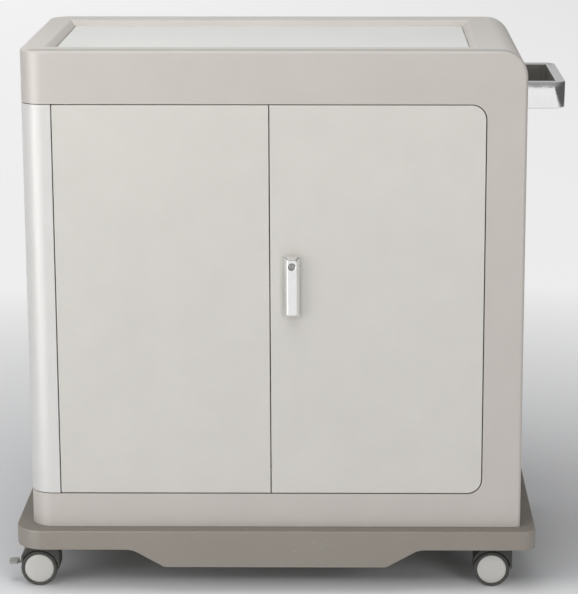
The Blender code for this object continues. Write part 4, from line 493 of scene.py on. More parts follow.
def is_left_corner(edge):
    """Whether an edge is one of the two upright ones at the frame's open end."""
    ends = [vertex.co for vertex in edge.verts]
    upright = abs(ends[0].z - ends[1].z) > (top_face - foot) / 2
    return upright and all(end.x < opening_left for end in ends)


def is_shell_rim(edge):
    """Whether an edge is a corner of the shell that is not on its underside."""
    return is_corner(edge) and not all(vertex.co.z < foot + SEAT for vertex in edge.verts)


round_edges(shell, LEFT_CORNER, 14, is_left_corner)
round_edges(shell, SHELL_RIM, 6, is_shell_rim)
frame_shell = fit("frame_shell", shell, frame_coat, "cabinet", "frame_paint", "outer_frame")

passage = bmesh.new()
extrude(passage, plate_outline(left_end - OVERRUN, opening_right, opening_low, opening_high,
                               (0, OPENING_CORNER, OPENING_CORNER, 0), steps=14),
        "Y", front_face - OVERRUN, rear_face + OVERRUN)
carve(frame_shell, passage)

cavity = bmesh.new()
corner_wall = FRAME_WALL + LEFT_CORNER * (1 - math.cos(math.radians(45)))
extrude(cavity, plate_outline(left_end + corner_wall, right_end - FRAME_WALL, foot + FRAME_WALL,
                              top_face - TOP_SKIN, (0, 0, TOP_BAND_BEND - TOP_SKIN, 0)),
        "Y", front_face + FASCIA, rear_face - FASCIA)
carve(frame_shell, cavity)


def recess_outline(inset):
    """Outline of the recess in the top, drawn in by inset."""
    return plate_outline(left_end + RECESS_LEFT, right_end - RECESS_RIGHT, front_face + RECESS_FRONT,
                         rear_face - RECESS_REAR, inset=inset)


recess = bmesh.new()
wall_profile = [(-0.0105, 0.004), (-0.0095, 0.0), (-0.0062, -0.0009), (-0.0030, -0.0029), (-0.0004, -0.0055),
                (RECESS_RUN - 0.0024, -RECESS_DROP + 0.0032), (RECESS_RUN - 0.0008, -RECESS_DROP + 0.0008),
                (RECESS_RUN, -RECESS_DROP), (RECESS_RUN, -RECESS_DROP - PANEL_SHEET - SEAT)]
loft(recess, [(recess_outline(inset), top_face + drop) for inset, drop in wall_profile], "Z")
carve(frame_shell, recess)

pivot_y = front_face + PIVOT_SETBACK
left_pivot, right_pivot = (centre_of(f"{side}_hinge_rod")[0] for side in ("left", "right"))
sockets = bmesh.new()
for pivot in (left_pivot, right_pivot):
    rod(sockets, "Z", (pivot, pivot_y), SOCKET, opening_high - OVERRUN, opening_high + SOCKET_DEPTH, 24)
    rod(sockets, "Z", (pivot, pivot_y), SOCKET, opening_low - SOCKET_DEPTH, opening_low + OVERRUN, 24)
carve(frame_shell, sockets)
break_edges(frame_shell, 0.0006)


# Left side cover. A paler moulding that wraps the open side of the frame, round at both
# corners, and ends in the door jambs. It is clipped to the lining from inside.

SEAM = 0.0015
JAMB_EDGE = 0.0012

side_coat = coat("side_cover_grey", shown(205, 204, 201), 0.36, 0.0011, 0.00005, shine=1.0)
wall = FRAME_WALL
cover = bmesh.new()
extrude(cover, rounded_outline([
    (opening_left, front_face + FASCIA, 0), (opening_left, front_face, JAMB_EDGE),
    (left_end, front_face, LEFT_CORNER), (left_end, rear_face, LEFT_CORNER),
    (opening_left, rear_face, JAMB_EDGE), (opening_left, rear_face - FASCIA, 0),
    (opening_left - wall, rear_face - FASCIA, 0), (opening_left - wall, rear_face - wall, 0),
    (left_end + wall, rear_face - wall, LEFT_CORNER - wall),
    (left_end + wall, front_face + wall, LEFT_CORNER - wall),
    (opening_left - wall, front_face + wall, 0), (opening_left - wall, front_face + FASCIA, 0)], 16),
    "Z", opening_low + SEAM, opening_high - SEAM)
side_cover = fit("side_cover", cover, side_coat, "cabinet", "column_paint", "left_side_panel")
break_edges(side_cover, 0.0005)


# Top panel. A loose sheet of grained plastic that drops into the recess, where a machine or
# papers stand on it.

PANEL_PLAY = 0.0015

panel_coat = coat("top_panel_grey", shown(214, 215, 212), 0.45, 0.0016, 0.00012, scuffed=0.5,
                  dust_and_painted_light_amounts=(0.12, 0))
panel = bmesh.new()
extrude(panel, recess_outline(RECESS_RUN + PANEL_PLAY), "Z", top_face - RECESS_DROP - PANEL_SHEET,
        top_face - RECESS_DROP)
top_panel = fit("top_panel", panel, panel_coat, "cabinet", "insert_paint", "top_insert")
break_edges(top_panel, 0.0008, 3)


# Lining, shelves and partitions. Folded and spot-welded sheet steel, powder coated light grey;
# the shelves hang on the ledges of the lining, and the partitions screen the power bay.


def refinish(names, finish):
    """Give CAD nodes that keep their shape their real finish."""
    for name in names:
        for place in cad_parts[name].material_slots:
            place.material = finish


lining_coat = coat("lining_powder_coat", shown(196, 196, 194), 0.48, 0.0009, 0.00008, scuffed=0.4,
                   dust_and_painted_light_amounts=(0.16, 0))
refinish(("inner_cabinet", "lower_shelf", "upper_shelf", "lower_partition", "upper_partition",
          "left_door_lining", "right_door_lining"), lining_coat)


# Divider racks. Eleven moulded plates stand on a thin base on each shelf, cut back in an
# S-curve at the front so that a hand can reach each laptop.

PLATES = 11
PLATE_SHEET = 0.003
RACK_BASE = 0.002
NOSE_HEIGHT = 0.120
NOSE_RUN = 0.110
SWEEP_STEPS = 24
FILLET = 0.003
FILLET_STOP = 0.004
BASE_LIP = 0.001

divider_coat = coat("divider_plastic_grey", shown(120, 124, 128), 0.44, 0.0014, 0.0001, scuffed=0.45,
                    dust_and_painted_light_amounts=(0.12, 0))
plate_pitch = (opening_right - opening_left + PLATE_SHEET) / (PLATES + 1)
for tier in ("lower", "upper"):
    rack_low, rack_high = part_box(f"{tier}_dividers")
    base_top = rack_low.z + RACK_BASE
    nose = rack_low.z + NOSE_HEIGHT
    plate_front = rack_low.y + BASE_LIP
    sweep = []
    for step in range(SWEEP_STEPS + 1):
        reach = step / SWEEP_STEPS
        rise = (1 - math.cos(math.pi * reach)) / 2
        sweep.append((plate_front + NOSE_RUN * reach, nose + (rack_high.z - nose) * rise))
    side_shape = ([(plate_front, base_top - BASE_LIP)] + sweep
                  + [(rack_high.y - SEAT, rack_high.z), (rack_high.y - SEAT, base_top - BASE_LIP)])
    rack = bmesh.new()
    bar(rack, rack_low.x, rack_high.x, rack_low.y, rack_high.y, rack_low.z, base_top)
    for index in range(PLATES):
        plate_left = opening_left + plate_pitch * (index + 1) - PLATE_SHEET
        extrude(rack, side_shape, "X", plate_left, plate_left + PLATE_SHEET)
        for side in (-1, 1):
            edge = plate_left + PLATE_SHEET / 2 + side * PLATE_SHEET / 2
            fillet = [(edge, base_top), (edge + side * FILLET, base_top), (edge, base_top + FILLET)]
            extrude(rack, fillet, "Y", plate_front + FILLET_STOP, rack_high.y - FILLET_STOP)
    racked = fit(f"{tier}_rack", rack, divider_coat, "cabinet", "divider_plastic", f"{tier}_dividers")
    break_edges(racked, 0.0007)


# Front doors. Folded sheet steel pans, powder coated a warm light grey, each with a flat lining
# behind; they turn on steel rods that stand in holes in the frame.

DOOR_SHEET = 0.0015
DOOR_FOLD = 0.0013
DOOR_FREE_CORNER = 0.002
PIN = 0.003
SPINDLE = 0.005
CLEARANCE = 0.0005

door_coat = coat("door_powder_coat", shown(202, 199, 193), 0.46, 0.0010, 0.00007, scuffed=0.2)
steel = coat("zinc_plated_steel", shown(176, 176, 173), 0.34, 0.0030, 0.00003, spread=0.12, scuffed=0.35,
             metallic=1.0, gloss_spread=0.1)
lock_low, lock_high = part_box("lock_handle")
key_low, key_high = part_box("lock_cylinder")
lock_x, lock_z = centre_of("lock_handle")[0], centre_of("lock_cylinder")[2]


def folded_pan(name, node, finish, body, slot, sides, face, back, sheet, fold, radii=(0, 0, 0, 0)):
    """Sheet steel pan with its flat face at one depth, rounded folds, and its rim turned to another."""
    def is_fold(edge):
        return all(abs(vertex.co.y - face) < SEAT for vertex in edge.verts)

    inward = math.copysign(1, back - face)
    skin = bmesh.new()
    extrude(skin, plate_outline(*sides, radii, steps=14), "Y", *sorted((face, back)))
    round_edges(skin, fold, 4, is_fold)
    pan = fit(name, skin, finish, body, slot, node)
    hollow = bmesh.new()
    extrude(hollow, plate_outline(*sides, radii, inset=sheet, steps=14), "Y",
            *sorted((face + inward * sheet, back + inward * OVERRUN)))
    carve(pan, hollow)
    return pan


bend = OPENING_CORNER - DOOR_GAP
for side in ("left", "right"):
    door_low, door_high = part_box(f"{side}_door")
    radii = (0, bend, bend, 0) if side == "right" else (DOOR_FREE_CORNER, 0, 0, DOOR_FREE_CORNER)
    door = folded_pan(f"{side}_door_skin", f"{side}_door", door_coat, f"{side}_door", "door_paint",
                      (door_low.x, door_high.x, door_low.z, door_high.z), door_low.y, door_high.y, DOOR_SHEET,
                      DOOR_FOLD, radii)
    holes = bmesh.new()
    pivot = left_pivot if side == "left" else right_pivot
    for edge in (door_low.z, door_high.z):
        rod(holes, "Z", (pivot, pivot_y), PIN + CLEARANCE, edge - OVERRUN, edge + OVERRUN, 24)
    if side == "right":
        rod(holes, "Y", (lock_x, lock_z), SPINDLE + CLEARANCE, front_face - OVERRUN, front_face + OVERRUN, 24)
    carve(door, holes)
    break_edges(door, 0.0003)
refinish(("left_hinge_rod", "right_hinge_rod", "door_bolt", "lock_cam"), steel)


# Lock. A die-cast zinc lever, chrome plated, with chamfers down its sides and a key cylinder in
# its head; it turns a quarter and carries the cam that reaches behind the left door.

LEVER_THICK = 0.015
LEVER_CORNER = 0.003
LEVER_CHAMFER = 0.006
BOSS = 0.0145
WELL = 0.0071
WELL_DEPTH = 0.0083
BARREL = 0.0065
KEY_RING, KEY_RING_WIDTH, KEY_DISH = 0.0050, 0.0011, 0.0006
KEYWAY_WIDTH, KEYWAY_HEIGHT, KEYWAY_DEPTH = 0.0014, 0.0070, 0.0045


def plating(name, colour, roughness, smear):
    """Bright chrome plate with the faint haze of handling."""
    finish, tree, shader = new_finish(name)
    haze = add_node(tree, "Group", {"Grain Size": 0.004, "Cloud Size": 0.025}, node_tree=coat_grain).outputs
    wear_and_painted_shade = add_node(tree, "Group", {"Amount": 0.5, "Width": 0.0004}, node_tree=scuffs).outputs["Mask"]
    dark = tuple(value * 0.94 for value in colour[:3]) + (1,)
    soft = ramp(tree, haze["Gloss"], 0.0, 1.0, roughness, roughness + smear)
    ripple = add_node(tree, "Bump", {"Height": haze["Gloss"], "Strength": 1.0, "Distance": 0.00008})
    feed(tree, shader, {"Base Color": mix_colour(tree, haze["Tone"], dark, colour), "Metallic": 1.0,
                        "Roughness": reckon(tree, "MULTIPLY_ADD", wear_and_painted_shade, 0.2, soft),
                        "Normal": ripple.outputs["Normal"]})
    return finish


chrome = plating("chrome_plate", shown(247, 247, 247), 0.06, 0.07)
lever_back = lock_low.y + LEVER_THICK
lever = bmesh.new()
sections = []
for inset, level in ((0, lever_back), (0, lever_back - LEVER_CHAMFER), (LEVER_CHAMFER, lock_low.y)):
    corners = (LEVER_CORNER + inset,) * 4
    sections.append((plate_outline(lock_low.x, lock_high.x, lock_low.z, lock_high.z, corners, inset, 8),
                     level))
loft(lever, sections, "Y")
handle = fit("lever_handle", lever, chrome, "door_lock", "chrome", "lock_handle", crease=25)
boss = bmesh.new()
rod(boss, "Y", (lock_x, lock_z), BOSS, lever_back - LEVER_CORNER, lock_high.y, 48)
carve(handle, boss, "UNION", 25)
well = bmesh.new()
rod(well, "Y", (lock_x, lock_z), SPINDLE + SEAT, lock_high.y - WELL_DEPTH, lock_high.y + OVERRUN, 32)
rod(well, "Y", (lock_x, lock_z), WELL, lock_low.y - OVERRUN, lock_low.y + WELL_DEPTH, 48)
carve(handle, well, crease=25)
break_edges(handle, 0.0008, 3, 25)

key_face = key_low.y
barrel = bmesh.new()
key_edge = KEY_RING + KEY_RING_WIDTH
lathe(barrel, [(0, key_face + KEY_DISH), (KEY_RING - 0.0005, key_face + KEY_DISH), (KEY_RING, key_face),
               (key_edge, key_face), (BARREL, key_face + BARREL - key_edge), (BARREL, key_high.y),
               (0, key_high.y)], "Y", (lock_x, lock_z), 48)
cylinder = fit("key_cylinder", barrel, steel, "lock_cylinder", "zinc_steel", "lock_cylinder")
keyway = bmesh.new()
bar(keyway, lock_x - KEYWAY_WIDTH / 2, lock_x + KEYWAY_WIDTH / 2, key_face - OVERRUN, key_face + KEYWAY_DEPTH,
    lock_z - KEYWAY_HEIGHT / 2, lock_z + KEYWAY_HEIGHT / 2)
carve(cylinder, keyway)


# Rear panels. Two folded steel pans close the back above and below the service doors: the upper
# one carries the fans behind slotted grilles, the lower one the mains inlet. Screws hold both.

FAN_BORE = 0.0425
GRILLE_PITCH = 0.0075
GRILLE_SLOT = 0.0035
PAN_SHEET = 0.002
PAN_FOLD = 0.0015
PAN_CUT = 2 * PAN_SHEET
SLOT_END = 0.0016
INLET_RIM = 0.0047
REAR_PIVOT_INSET = 0.022
SCREW_INSET, CORNER_SCREW_INSET = 0.012, 0.030
SCREW_HEAD, SCREW_RISE = 0.0042, 0.0024
CROSS_HALF, CROSS_REACH = 0.0005, 0.0022

fan_low, fan_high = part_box("fan_panel")
fan_spots = [(centre_of(f"{side}_fan_rotor")[0], centre_of("fan_panel")[2]) for side in ("left", "right")]


def rear_pan(name, node, radii):
    """Pan in the back of the frame, in the frame's finish."""
    low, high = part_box(node)
    return folded_pan(name, node, frame_coat, "cabinet", "frame_paint", (low.x, high.x, low.z, high.z),
                      rear_face, rear_face - FASCIA, PAN_SHEET, PAN_FOLD, radii)


fan_pan = rear_pan("fan_grille_panel", "fan_panel", (0, 0, bend, 0))
slots = bmesh.new()
for fan_x, fan_z in fan_spots:
    for row in range(-5, 6):
        rise = row * GRILLE_PITCH
        half = math.sqrt(FAN_BORE ** 2 - rise ** 2)
        extrude(slots, plate_outline(fan_x - half, fan_x + half, fan_z + rise - GRILLE_SLOT / 2,
                                     fan_z + rise + GRILLE_SLOT / 2, (SLOT_END,) * 4, steps=4),
                "Y", rear_face - PAN_CUT, rear_face + OVERRUN)
carve(fan_pan, slots)
inlet_pan = rear_pan("inlet_surround", "inlet_panel", (0, bend, 0, 0))
inlet_low, inlet_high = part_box("mains_inlet")
window = bmesh.new()
bar(window, inlet_low.x + INLET_RIM, inlet_high.x - INLET_RIM, rear_face - PAN_CUT, rear_face + OVERRUN,
    inlet_low.z + INLET_RIM, inlet_high.z - INLET_RIM)
carve(inlet_pan, window)
strip_low, strip_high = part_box("inlet_panel")
rear_pivots = {"left": opening_left + REAR_PIVOT_INSET, "right": opening_right - REAR_PIVOT_INSET}
for pan, edge in ((fan_pan, fan_low.z), (inlet_pan, strip_high.z)):
    holes = bmesh.new()
    for pivot in rear_pivots.values():
        rod(holes, "Z", (pivot, rear_face - PIVOT_SETBACK), PIN + CLEARANCE, edge - OVERRUN,
            edge + OVERRUN, 24)
    carve(pan, holes)
    break_edges(pan, 0.0003)


def pan_head_screw(heads, crosses, across, up):
    """Domed screw head on the rear face, and the cross that is cut into it."""
    dome = [(0, 0), (1, 0), (1, 0.4), (0.86, 0.72), (0.55, 0.95), (0, 1)]
    lathe(heads, [(SCREW_HEAD * out, rear_face + SCREW_RISE * rise) for out, rise in dome], "Y",
          (across, up), 28)
    arm = [(-CROSS_HALF, -CROSS_HALF), (-CROSS_HALF, -CROSS_REACH), (CROSS_HALF, -CROSS_REACH)]
    plus = []
    for quarter in range(4):
        turn = math.radians(90 * quarter)
        cosine, sine = math.cos(turn), math.sin(turn)
        plus += [(across + x * cosine - y * sine, up + x * sine + y * cosine) for x, y in arm]
    extrude(crosses, plus, "Y", rear_face + SCREW_RISE * 0.4, rear_face + SCREW_RISE + OVERRUN)


heads, crosses = bmesh.new(), bmesh.new()
for up, inset in ((fan_high.z - SCREW_INSET, CORNER_SCREW_INSET), (fan_low.z + SCREW_INSET, SCREW_INSET),
                  (strip_high.z - SCREW_INSET, SCREW_INSET), (strip_low.z + SCREW_INSET, CORNER_SCREW_INSET)):
    for across in (fan_low.x + SCREW_INSET, centre_of("fan_panel")[0], fan_high.x - inset):
        pan_head_screw(heads, crosses, across, up)
screws = fit("rear_panel_screws", heads, steel, "cabinet", "zinc_steel")
carve(screws, crosses)


# Service doors. Two louvred steel doors behind the power bay; each louvre is cut along one edge
# and pressed outwards. They turn on pins in the rear panels, and the right one has a cam lock.

LOUVRES = 14
LOUVRE_PITCH = 0.016
LOUVRE_SLOT = 0.0035
LOUVRE_RISE = 0.0040
LIP = 0.0010
LOUVRE_BACK = 0.0055
LOUVRE_MARGIN = 0.070
LOUVRE_TOP = 0.060
LOUVRE_SEAT = 0.0002
KNOB_RADIUS = 0.011
SHOULDER = 0.0045
PIN_ROOT, PIN_REACH, PIN_TIP = 0.016, 0.013, 0.0008

low_z = strip_high.z + DOOR_GAP
high_z = fan_low.z - DOOR_GAP
for side in ("left", "right"):
    node = f"rear_{side}_door"
    door_low, door_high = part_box(node)
    service = folded_pan(f"{node}_louvred", node, door_coat, node, "door_paint",
                         (door_low.x, door_high.x, low_z, high_z), rear_face, rear_face - FASCIA, PAN_SHEET,
                         PAN_FOLD)
    mouths = bmesh.new()
    hoods = bmesh.new()
    start, end = door_low.x + LOUVRE_MARGIN, door_high.x - LOUVRE_MARGIN
    for row in range(LOUVRES):
        slot_top = high_z - LOUVRE_TOP - row * LOUVRE_PITCH
        slot_low = slot_top - LOUVRE_SLOT
        extrude(mouths, plate_outline(start, end, slot_low, slot_top), "Y", rear_face - PAN_CUT,
                rear_face + OVERRUN)
        crest = [(rear_face - LOUVRE_SEAT, slot_top + LOUVRE_BACK),
                 (rear_face + LOUVRE_RISE * 0.55, slot_top + 0.0035),
                 (rear_face + LOUVRE_RISE, slot_top - LOUVRE_SLOT * 0.6), (rear_face + LOUVRE_RISE, slot_low)]
        extrude(hoods, crest + [(rear_face + LOUVRE_RISE - LIP, slot_low),
                                (rear_face + LOUVRE_RISE * 0.40, slot_top + 0.0020),
                                (rear_face - LOUVRE_SEAT, slot_top + 0.0038)], "X", start, end)
        for cheek in (start, end - LIP):
            extrude(hoods, crest + [(rear_face - LOUVRE_SEAT, slot_low)], "X", cheek, cheek + LIP)
    carve(service, mouths)
    if side == "right":
        knob_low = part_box("rear_lock")[0]
        lock_place = (knob_low.x + KNOB_RADIUS, knob_low.z + KNOB_RADIUS)
        bore = bmesh.new()
        rod(bore, "Y", lock_place, SPINDLE + CLEARANCE, rear_face - PAN_CUT, rear_face + OVERRUN, 24)
        carve(service, bore)
    pins = bmesh.new()
    for edge, up in ((high_z, 1), (low_z, -1)):
        inside = edge - up * PIN_ROOT
        seat = edge - up * PAN_SHEET / 2
        end = edge + up * PIN_REACH
        profile = [(0, inside), (SHOULDER, inside), (SHOULDER, seat), (PIN, seat), (PIN, end - up * PIN_TIP),
                   (PIN - PIN_TIP, end), (0, end)]
        lathe(pins, profile, "Z", (rear_pivots[side], rear_face - PIVOT_SETBACK), 28)
    fit(f"{node}_pins", pins, steel, node, "zinc_steel")
    fit(f"{node}_louvre_hoods", hoods, door_coat, node, "door_paint", crease=30)
    break_edges(service, 0.0003)
refinish(("rear_lock",), steel)


# Fans. Two 92 mm axial fans in black glass-filled plastic draw warm air out through the grilles;
# their frames are screwed to one tray behind the panel.

black_plastic = coat("black_glass_filled_plastic", shown(36, 36, 37), 0.46, 0.0007, 0.00005, spread=0.12,
                     scuffed=0.1, dust_and_painted_light_amounts=(0.2, 0))
refinish(("fan_tray", "left_fan_rotor", "right_fan_rotor"), black_plastic)


# Power bay. Two socket strips with an outlet for each bay, a control box with the timer and the
# breaker, and the rubber-covered leads between them. The inlet has three flat contacts.

SOCKET_HALF = 0.0125
INLET_FLANGE = 0.005
INLET_WALL = 0.004
CONTACT_HALF_WIDTH, CONTACT_HALF_HEIGHT = 0.0010, 0.0020
CONTACT_ROOT, CONTACT_TIP = 0.0135, 0.002
CONTACT_SPOTS = ((-0.0062, -0.0012), (0, 0.0028), (0.0062, -0.0012))

lead_rubber = coat("lead_rubber", shown(30, 30, 31), 0.58, 0.0012, 0.00005, spread=0.08, scuffed=0.1,
                   dust_and_painted_light_amounts=(0.15, 0))
box_plastic = coat("power_bay_plastic", shown(38, 38, 40), 0.42, 0.0010, 0.00008, spread=0.1, scuffed=0.15,
                   dust_and_painted_light_amounts=(0.2, 0))
refinish(("lower_power_strip", "upper_power_strip", "control_box", "mains_inlet"), box_plastic)
refinish(("lower_strip_lead", "upper_strip_lead"), lead_rubber)
rocker_plastic = coat("rocker_plastic", shown(50, 50, 50), 0.3, 0.0010, 0.00002, spread=0.06, scuffed=0.1)
refinish(("power_rocker",), rocker_plastic)

blades = bmesh.new()
socket_x = inlet_low.x + INLET_FLANGE + INLET_WALL + SOCKET_HALF
inlet_z = centre_of("mains_inlet")[2]
for across, up in CONTACT_SPOTS:
    bar(blades, socket_x + across - CONTACT_HALF_WIDTH, socket_x + across + CONTACT_HALF_WIDTH,
        rear_face - CONTACT_ROOT, rear_face - CONTACT_TIP, inlet_z + up - CONTACT_HALF_HEIGHT,
        inlet_z + up + CONTACT_HALF_HEIGHT)
contact = fit("inlet_contacts", blades, steel, "cabinet", "zinc_steel")
break_edges(contact, 0.0003)


# Push handle. Flat steel bar, bent into a bail and chrome plated, that stands on the right end
# and is bolted through it from inside. Its inner faces have a dull dark grey finish.

HANDLE_BAR = 0.020
BAIL_BEND, BAIL_INNER_BEND = 0.024, 0.005
BAIL_EDGE = 0.0022

bail_low, bail_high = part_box("push_handle")
bail = bmesh.new()
extrude(bail, rounded_outline([
    (bail_low.x, bail_low.y, 0), (bail_high.x, bail_low.y, BAIL_BEND), (bail_high.x, bail_high.y, BAIL_BEND),
    (bail_low.x, bail_high.y, 0), (bail_low.x, bail_high.y - HANDLE_BAR, 0),
    (bail_high.x - HANDLE_BAR, bail_high.y - HANDLE_BAR, BAIL_INNER_BEND),
    (bail_high.x - HANDLE_BAR, bail_low.y + HANDLE_BAR, BAIL_INNER_BEND),
    (bail_low.x, bail_low.y + HANDLE_BAR, 0)], 18), "Z", bail_low.z, bail_high.z)


def is_bail_rim(edge):
    """Whether an edge runs along the top or the bottom of the bar, clear of the cabinet."""
    ends = [vertex.co for vertex in edge.verts]
    level = all(end.z > bail_high.z - SEAT for end in ends) or all(end.z < bail_low.z + SEAT for end in ends)
    return level and max(end.x for end in ends) > bail_low.x + SEAT


round_edges(bail, BAIL_EDGE, 5, is_bail_rim)
bail_inside = coat("bail_inside_dull", shown(98, 96, 92), 0.6, 0.0009, 0.00004, scuffed=0.1, dust_and_painted_light_amounts=(0, 0))
push_bail = fit("push_bail", bail, chrome, "cabinet", "chrome", "push_handle")
push_bail.data.materials.append(bail_inside)
for face in push_bail.data.polygons:
    inside = (face.center.x < bail_high.x - HANDLE_BAR + SEAT
              and bail_low.y + HANDLE_BAR - SEAT < face.center.y < bail_high.y - HANDLE_BAR + SEAT)
    if inside and abs(face.normal.z) < 0.1 and face.center.x > bail_low.x + SEAT:
        face.material_index = 1


# Base tray. A thick-walled moulding in warm dark grey that overhangs the cabinet as a bumper,
# with a skirt that dips in the middle of its front and back.

OVERHANG_WALL = 0.004
RIM = 0.040
SKIRT_HALF = 0.226
SKIRT_RUN = 0.066
SKIRT_BEND, SKIRT_FOOT_BEND = 0.045, 0.008
HALF_CUT = 0.7
TRAY_LEFT_BEND, TRAY_RIGHT_BEND = 0.060, 0.028
TRAY_EDGE = 0.003

# The dust mix darkens the tray's upper faces towards a dark brown grey: painted shade under the overhanging
# cabinet, with a little real dust on its lowest parts.
tray_coat = coat("base_tray_grey", shown(134, 127, 118), 0.44, 0.0013, 0.0001, spread=0.04, scuffed=0.5,
                 dust_and_painted_light_amounts=(0.9, 0.12), shine=1.0, dust_and_painted_light_colour=shown(62, 56, 50))
tray_low, tray_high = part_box("plinth_cover")
radii = (TRAY_LEFT_BEND, TRAY_RIGHT_BEND, TRAY_RIGHT_BEND, TRAY_LEFT_BEND)
tray = bmesh.new()
extrude(tray, plate_outline(tray_low.x, tray_high.x, tray_low.y, tray_high.y, radii, steps=16), "Z",
        tray_low.z, tray_high.z)


def is_tray_top(edge):
    """Whether an edge lies in the tray's upper face."""
    return all(vertex.co.z > tray_high.z - SEAT for vertex in edge.verts)


round_edges(tray, TRAY_EDGE, 5, is_tray_top)
base_tray = fit("base_tray", tray, tray_coat, "cabinet", "plinth_plastic", "plinth_cover")
hollow = bmesh.new()
extrude(hollow, plate_outline(tray_low.x, tray_high.x, tray_low.y, tray_high.y, radii, inset=OVERHANG_WALL,
                              steps=16), "Z", tray_low.z - OVERRUN, tray_high.z - OVERHANG_WALL)
carve(base_tray, hollow)
rim_low = tray_high.z - RIM
middle = (tray_low.x + tray_high.x) / 2
below = bmesh.new()
for side in (-1, 1):
    far = middle + side * HALF_CUT
    corners = [(far, rim_low, 0), (middle + side * (SKIRT_HALF + SKIRT_RUN), rim_low, SKIRT_BEND),
               (middle + side * SKIRT_HALF, tray_low.z, SKIRT_FOOT_BEND), (middle, tray_low.z, 0),
               (middle, tray_low.z - OVERRUN, 0), (far, tray_low.z - OVERRUN, 0)]
    extrude(below, rounded_outline(corners, 10), "Y", tray_low.y - OVERRUN, tray_high.y + OVERRUN)
carve(base_tray, below)
break_edges(base_tray, 0.0009, 3)


# Chassis. Two channels of zinc plated steel run front to back over the casters, joined by two
# welded cross-members; the base tray lies on it.

refinish(("chassis_frame",), steel)


# Casters. Each has a plate bolted under a channel, a nylon hood that swivels on the plate's
# stem, and two wheels pressed on one axle, with grey rubber tyres. The left ones have brakes.

hood_nylon = coat("hood_nylon", shown(38, 39, 36), 0.5, 0.0011, 0.0001, spread=0.1, scuffed=0.4,
                  dust_and_painted_light_amounts=(0.08, 0.35))
tyre_rubber = coat("tyre_rubber", shown(52, 53, 51), 0.66, 0.0009, 0.0001, spread=0.1, scuffed=0.3,
                   dust_and_painted_light_amounts=(0.0, 0.3))
wheel_nylon = coat("wheel_nylon", shown(205, 204, 199), 0.38, 0.0012, 0.00004, scuffed=0.3,
                   dust_and_painted_light_amounts=(0.0, 0.15))
WHEEL = 0.0375
WEB = 0.012
HOOD_GAP = 0.002
PLATE_SHEET_STEEL = 0.0025
BOLT_SPREAD = 0.0235
HOOD_BEND, HOOD_BACK_BEND, HOOD_SHOULDER_BEND = 0.005, 0.006, 0.009
HOOD_SLOPE_RUN, HOOD_SLOPE_DROP = 0.022, 0.026
HOOD_EDGE = 0.0018
AXLE_SADDLE = 0.009
AXLE_BORE, STEM_BORE, PIN_BORE = 0.0046, 0.0065, 0.0025
BORE_REACH = 0.012
PEDAL_SETBACK, PEDAL_HEIGHT = 0.053, 0.044
PEDAL_SLOT_FRONT, PEDAL_SLOT_WIDTH, PEDAL_SLOT_HEIGHT = 0.0049, 0.0072, 0.0110
HUB, HUB_HALF = 0.004, 0.0068
TYRE_DEPTH, TYRE_BEND, TYRE_EDGE = 0.007, 0.004, 0.0004
WASHER, WASHER_SHEET = 0.0066, 0.0010
BOLT_HEAD, BOLT_RISE, BOLT_CHAMFER = 0.0057, 0.0050, 0.0006
SUNK = 0.0001


def is_on_side(middle, half_width):
    """Test for the edges that run round the two side faces of a hood."""
    def on_side(edge):
        ends = [vertex.co for vertex in edge.verts]
        beyond = [abs(end_point.y - middle) > half_width - SEAT for end_point in ends]
        return all(beyond) and abs(ends[0].y - ends[1].y) < SEAT
    return on_side


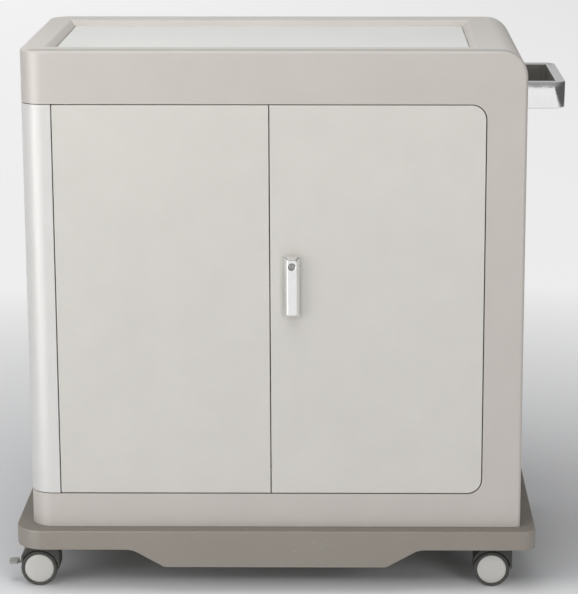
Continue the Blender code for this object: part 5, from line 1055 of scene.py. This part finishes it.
for end in ("front", "rear"):
    for side in ("left", "right"):
        name = f"{end}_{side}"
        stem_x, stem_y = centre_of(f"{name}_caster_plate")[:2]
        hood_low, hood_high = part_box(f"{name}_hood")
        axle_x = centre_of(f"{name}_wheel_core")[0]
        refinish((f"{name}_caster_plate",), steel)

        hood = bmesh.new()
        saddle = WHEEL - AXLE_SADDLE
        extrude(hood, rounded_outline([
            (axle_x + AXLE_SADDLE, saddle, HOOD_BEND), (hood_high.x, WHEEL, HOOD_BEND),
            (hood_high.x, hood_high.z, HOOD_BACK_BEND),
            (hood_low.x + HOOD_SLOPE_RUN, hood_high.z, HOOD_SHOULDER_BEND),
            (hood_low.x, hood_high.z - HOOD_SLOPE_DROP, HOOD_SHOULDER_BEND), (hood_low.x, WHEEL, HOOD_BEND),
            (axle_x - AXLE_SADDLE, saddle, HOOD_BEND)], 8), "Y", hood_low.y, hood_high.y)
        round_edges(hood, HOOD_EDGE, 4, is_on_side(stem_y, (hood_high.y - hood_low.y) / 2))
        hooded = fit(f"{name}_hood_shell", hood, hood_nylon, f"{name}_swivel", "hood_plastic", f"{name}_hood")
        wells = bmesh.new()
        for out in (-1, 1):
            planes = sorted((stem_y + out * WEB / 2, stem_y + out * (hood_high.y - stem_y + OVERRUN)))
            rod(wells, "Y", (axle_x, WHEEL), WHEEL + HOOD_GAP, *planes, 72)
        carve(hooded, wells)
        bores = bmesh.new()
        rod(bores, "Z", (stem_x, stem_y), STEM_BORE, WHEEL * 2 + HOOD_GAP + SEAT, hood_high.z + OVERRUN, 32)
        rod(bores, "Y", (axle_x, WHEEL), AXLE_BORE, stem_y - BORE_REACH, stem_y + BORE_REACH, 32)
        if side == "left":
            pin_x = stem_x - PEDAL_SETBACK
            rod(bores, "Y", (pin_x, PEDAL_HEIGHT), PIN_BORE, stem_y - BORE_REACH, stem_y + BORE_REACH, 24)
            bar(bores, hood_low.x - OVERRUN, pin_x + PEDAL_SLOT_FRONT, stem_y - PEDAL_SLOT_WIDTH / 2,
                stem_y + PEDAL_SLOT_WIDTH / 2, PEDAL_HEIGHT - PEDAL_SLOT_HEIGHT / 2,
                PEDAL_HEIGHT + PEDAL_SLOT_HEIGHT / 2)
        carve(hooded, bores)
        break_edges(hooded, 0.0005)

        core = bmesh.new()
        rim = WHEEL - TYRE_DEPTH - TYRE_EDGE
        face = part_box(f"{name}_wheel_core")[1].y - stem_y
        half = [(HUB, HUB_HALF), (rim, HUB_HALF), (rim, face - 0.0034), (rim - 0.0005, face - 0.0025),
                (rim - 0.0016, face - 0.0019), (rim * 0.75, face - 0.0011), (rim * 0.45, face - 0.0004),
                (rim * 0.2, face - 0.0001), (0, face)]
        lathe(core, [(radius, stem_y - along) for radius, along in half[::-1]]
              + [(radius, stem_y + along) for radius, along in half], "Y", (axle_x, WHEEL), 72)
        fit(f"{name}_wheel_pair", core, wheel_nylon, f"{name}_wheels", "wheel_grey", f"{name}_wheel_core",
            crease=50)
        for label in ("front", "rear"):
            tyre_low, tyre_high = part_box(f"{name}_{label}_tyre")
            bore = WHEEL - TYRE_DEPTH
            profile = [(bore, tyre_low.y + TYRE_EDGE), (bore + TYRE_EDGE, tyre_low.y)]
            for angle in map(math.radians, range(0, 91, 15)):
                profile.append((WHEEL - TYRE_BEND * (1 - math.sin(angle)),
                                tyre_low.y + TYRE_BEND * (1 - math.cos(angle))))
            profile += [(radius, tyre_low.y + tyre_high.y - along) for radius, along in profile[::-1]]
            tyre = bmesh.new()
            lathe(tyre, profile, "Y", (axle_x, WHEEL), 72, ring=True)
            fit(f"{name}_{label}_tread", tyre, tyre_rubber, f"{name}_wheels", "tyre_rubber",
                f"{name}_{label}_tyre", crease=50)
        bolts = bmesh.new()
        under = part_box(f"{name}_caster_plate")[1].z - PLATE_SHEET_STEEL
        for across in (-BOLT_SPREAD, BOLT_SPREAD):
            for along in (-BOLT_SPREAD, BOLT_SPREAD):
                centre = (stem_x + across, stem_y + along)
                rod(bolts, "Z", centre, WASHER, under - WASHER_SHEET, under + SUNK, 32)
                foot_level, root = under - BOLT_RISE, under - WASHER_SHEET + SUNK
                lathe(bolts, [(0, foot_level), (BOLT_HEAD - 0.001, foot_level),
                              (BOLT_HEAD, foot_level + BOLT_CHAMFER), (BOLT_HEAD, root), (0, root)],
                      "Z", centre, 6)
        fit(f"{name}_plate_bolts", bolts, steel, "cabinet", "zinc_steel")


# Brake pedals. Grey nylon, each on a pin through the hood's web; pressed down, it stops both
# wheels of its caster.

pedal_nylon = coat("pedal_nylon", shown(146, 146, 143), 0.42, 0.0010, 0.00006, spread=0.06, scuffed=0.5)
for end in ("front", "rear"):
    refinish((f"{end}_left_brake_pedal",), pedal_nylon)
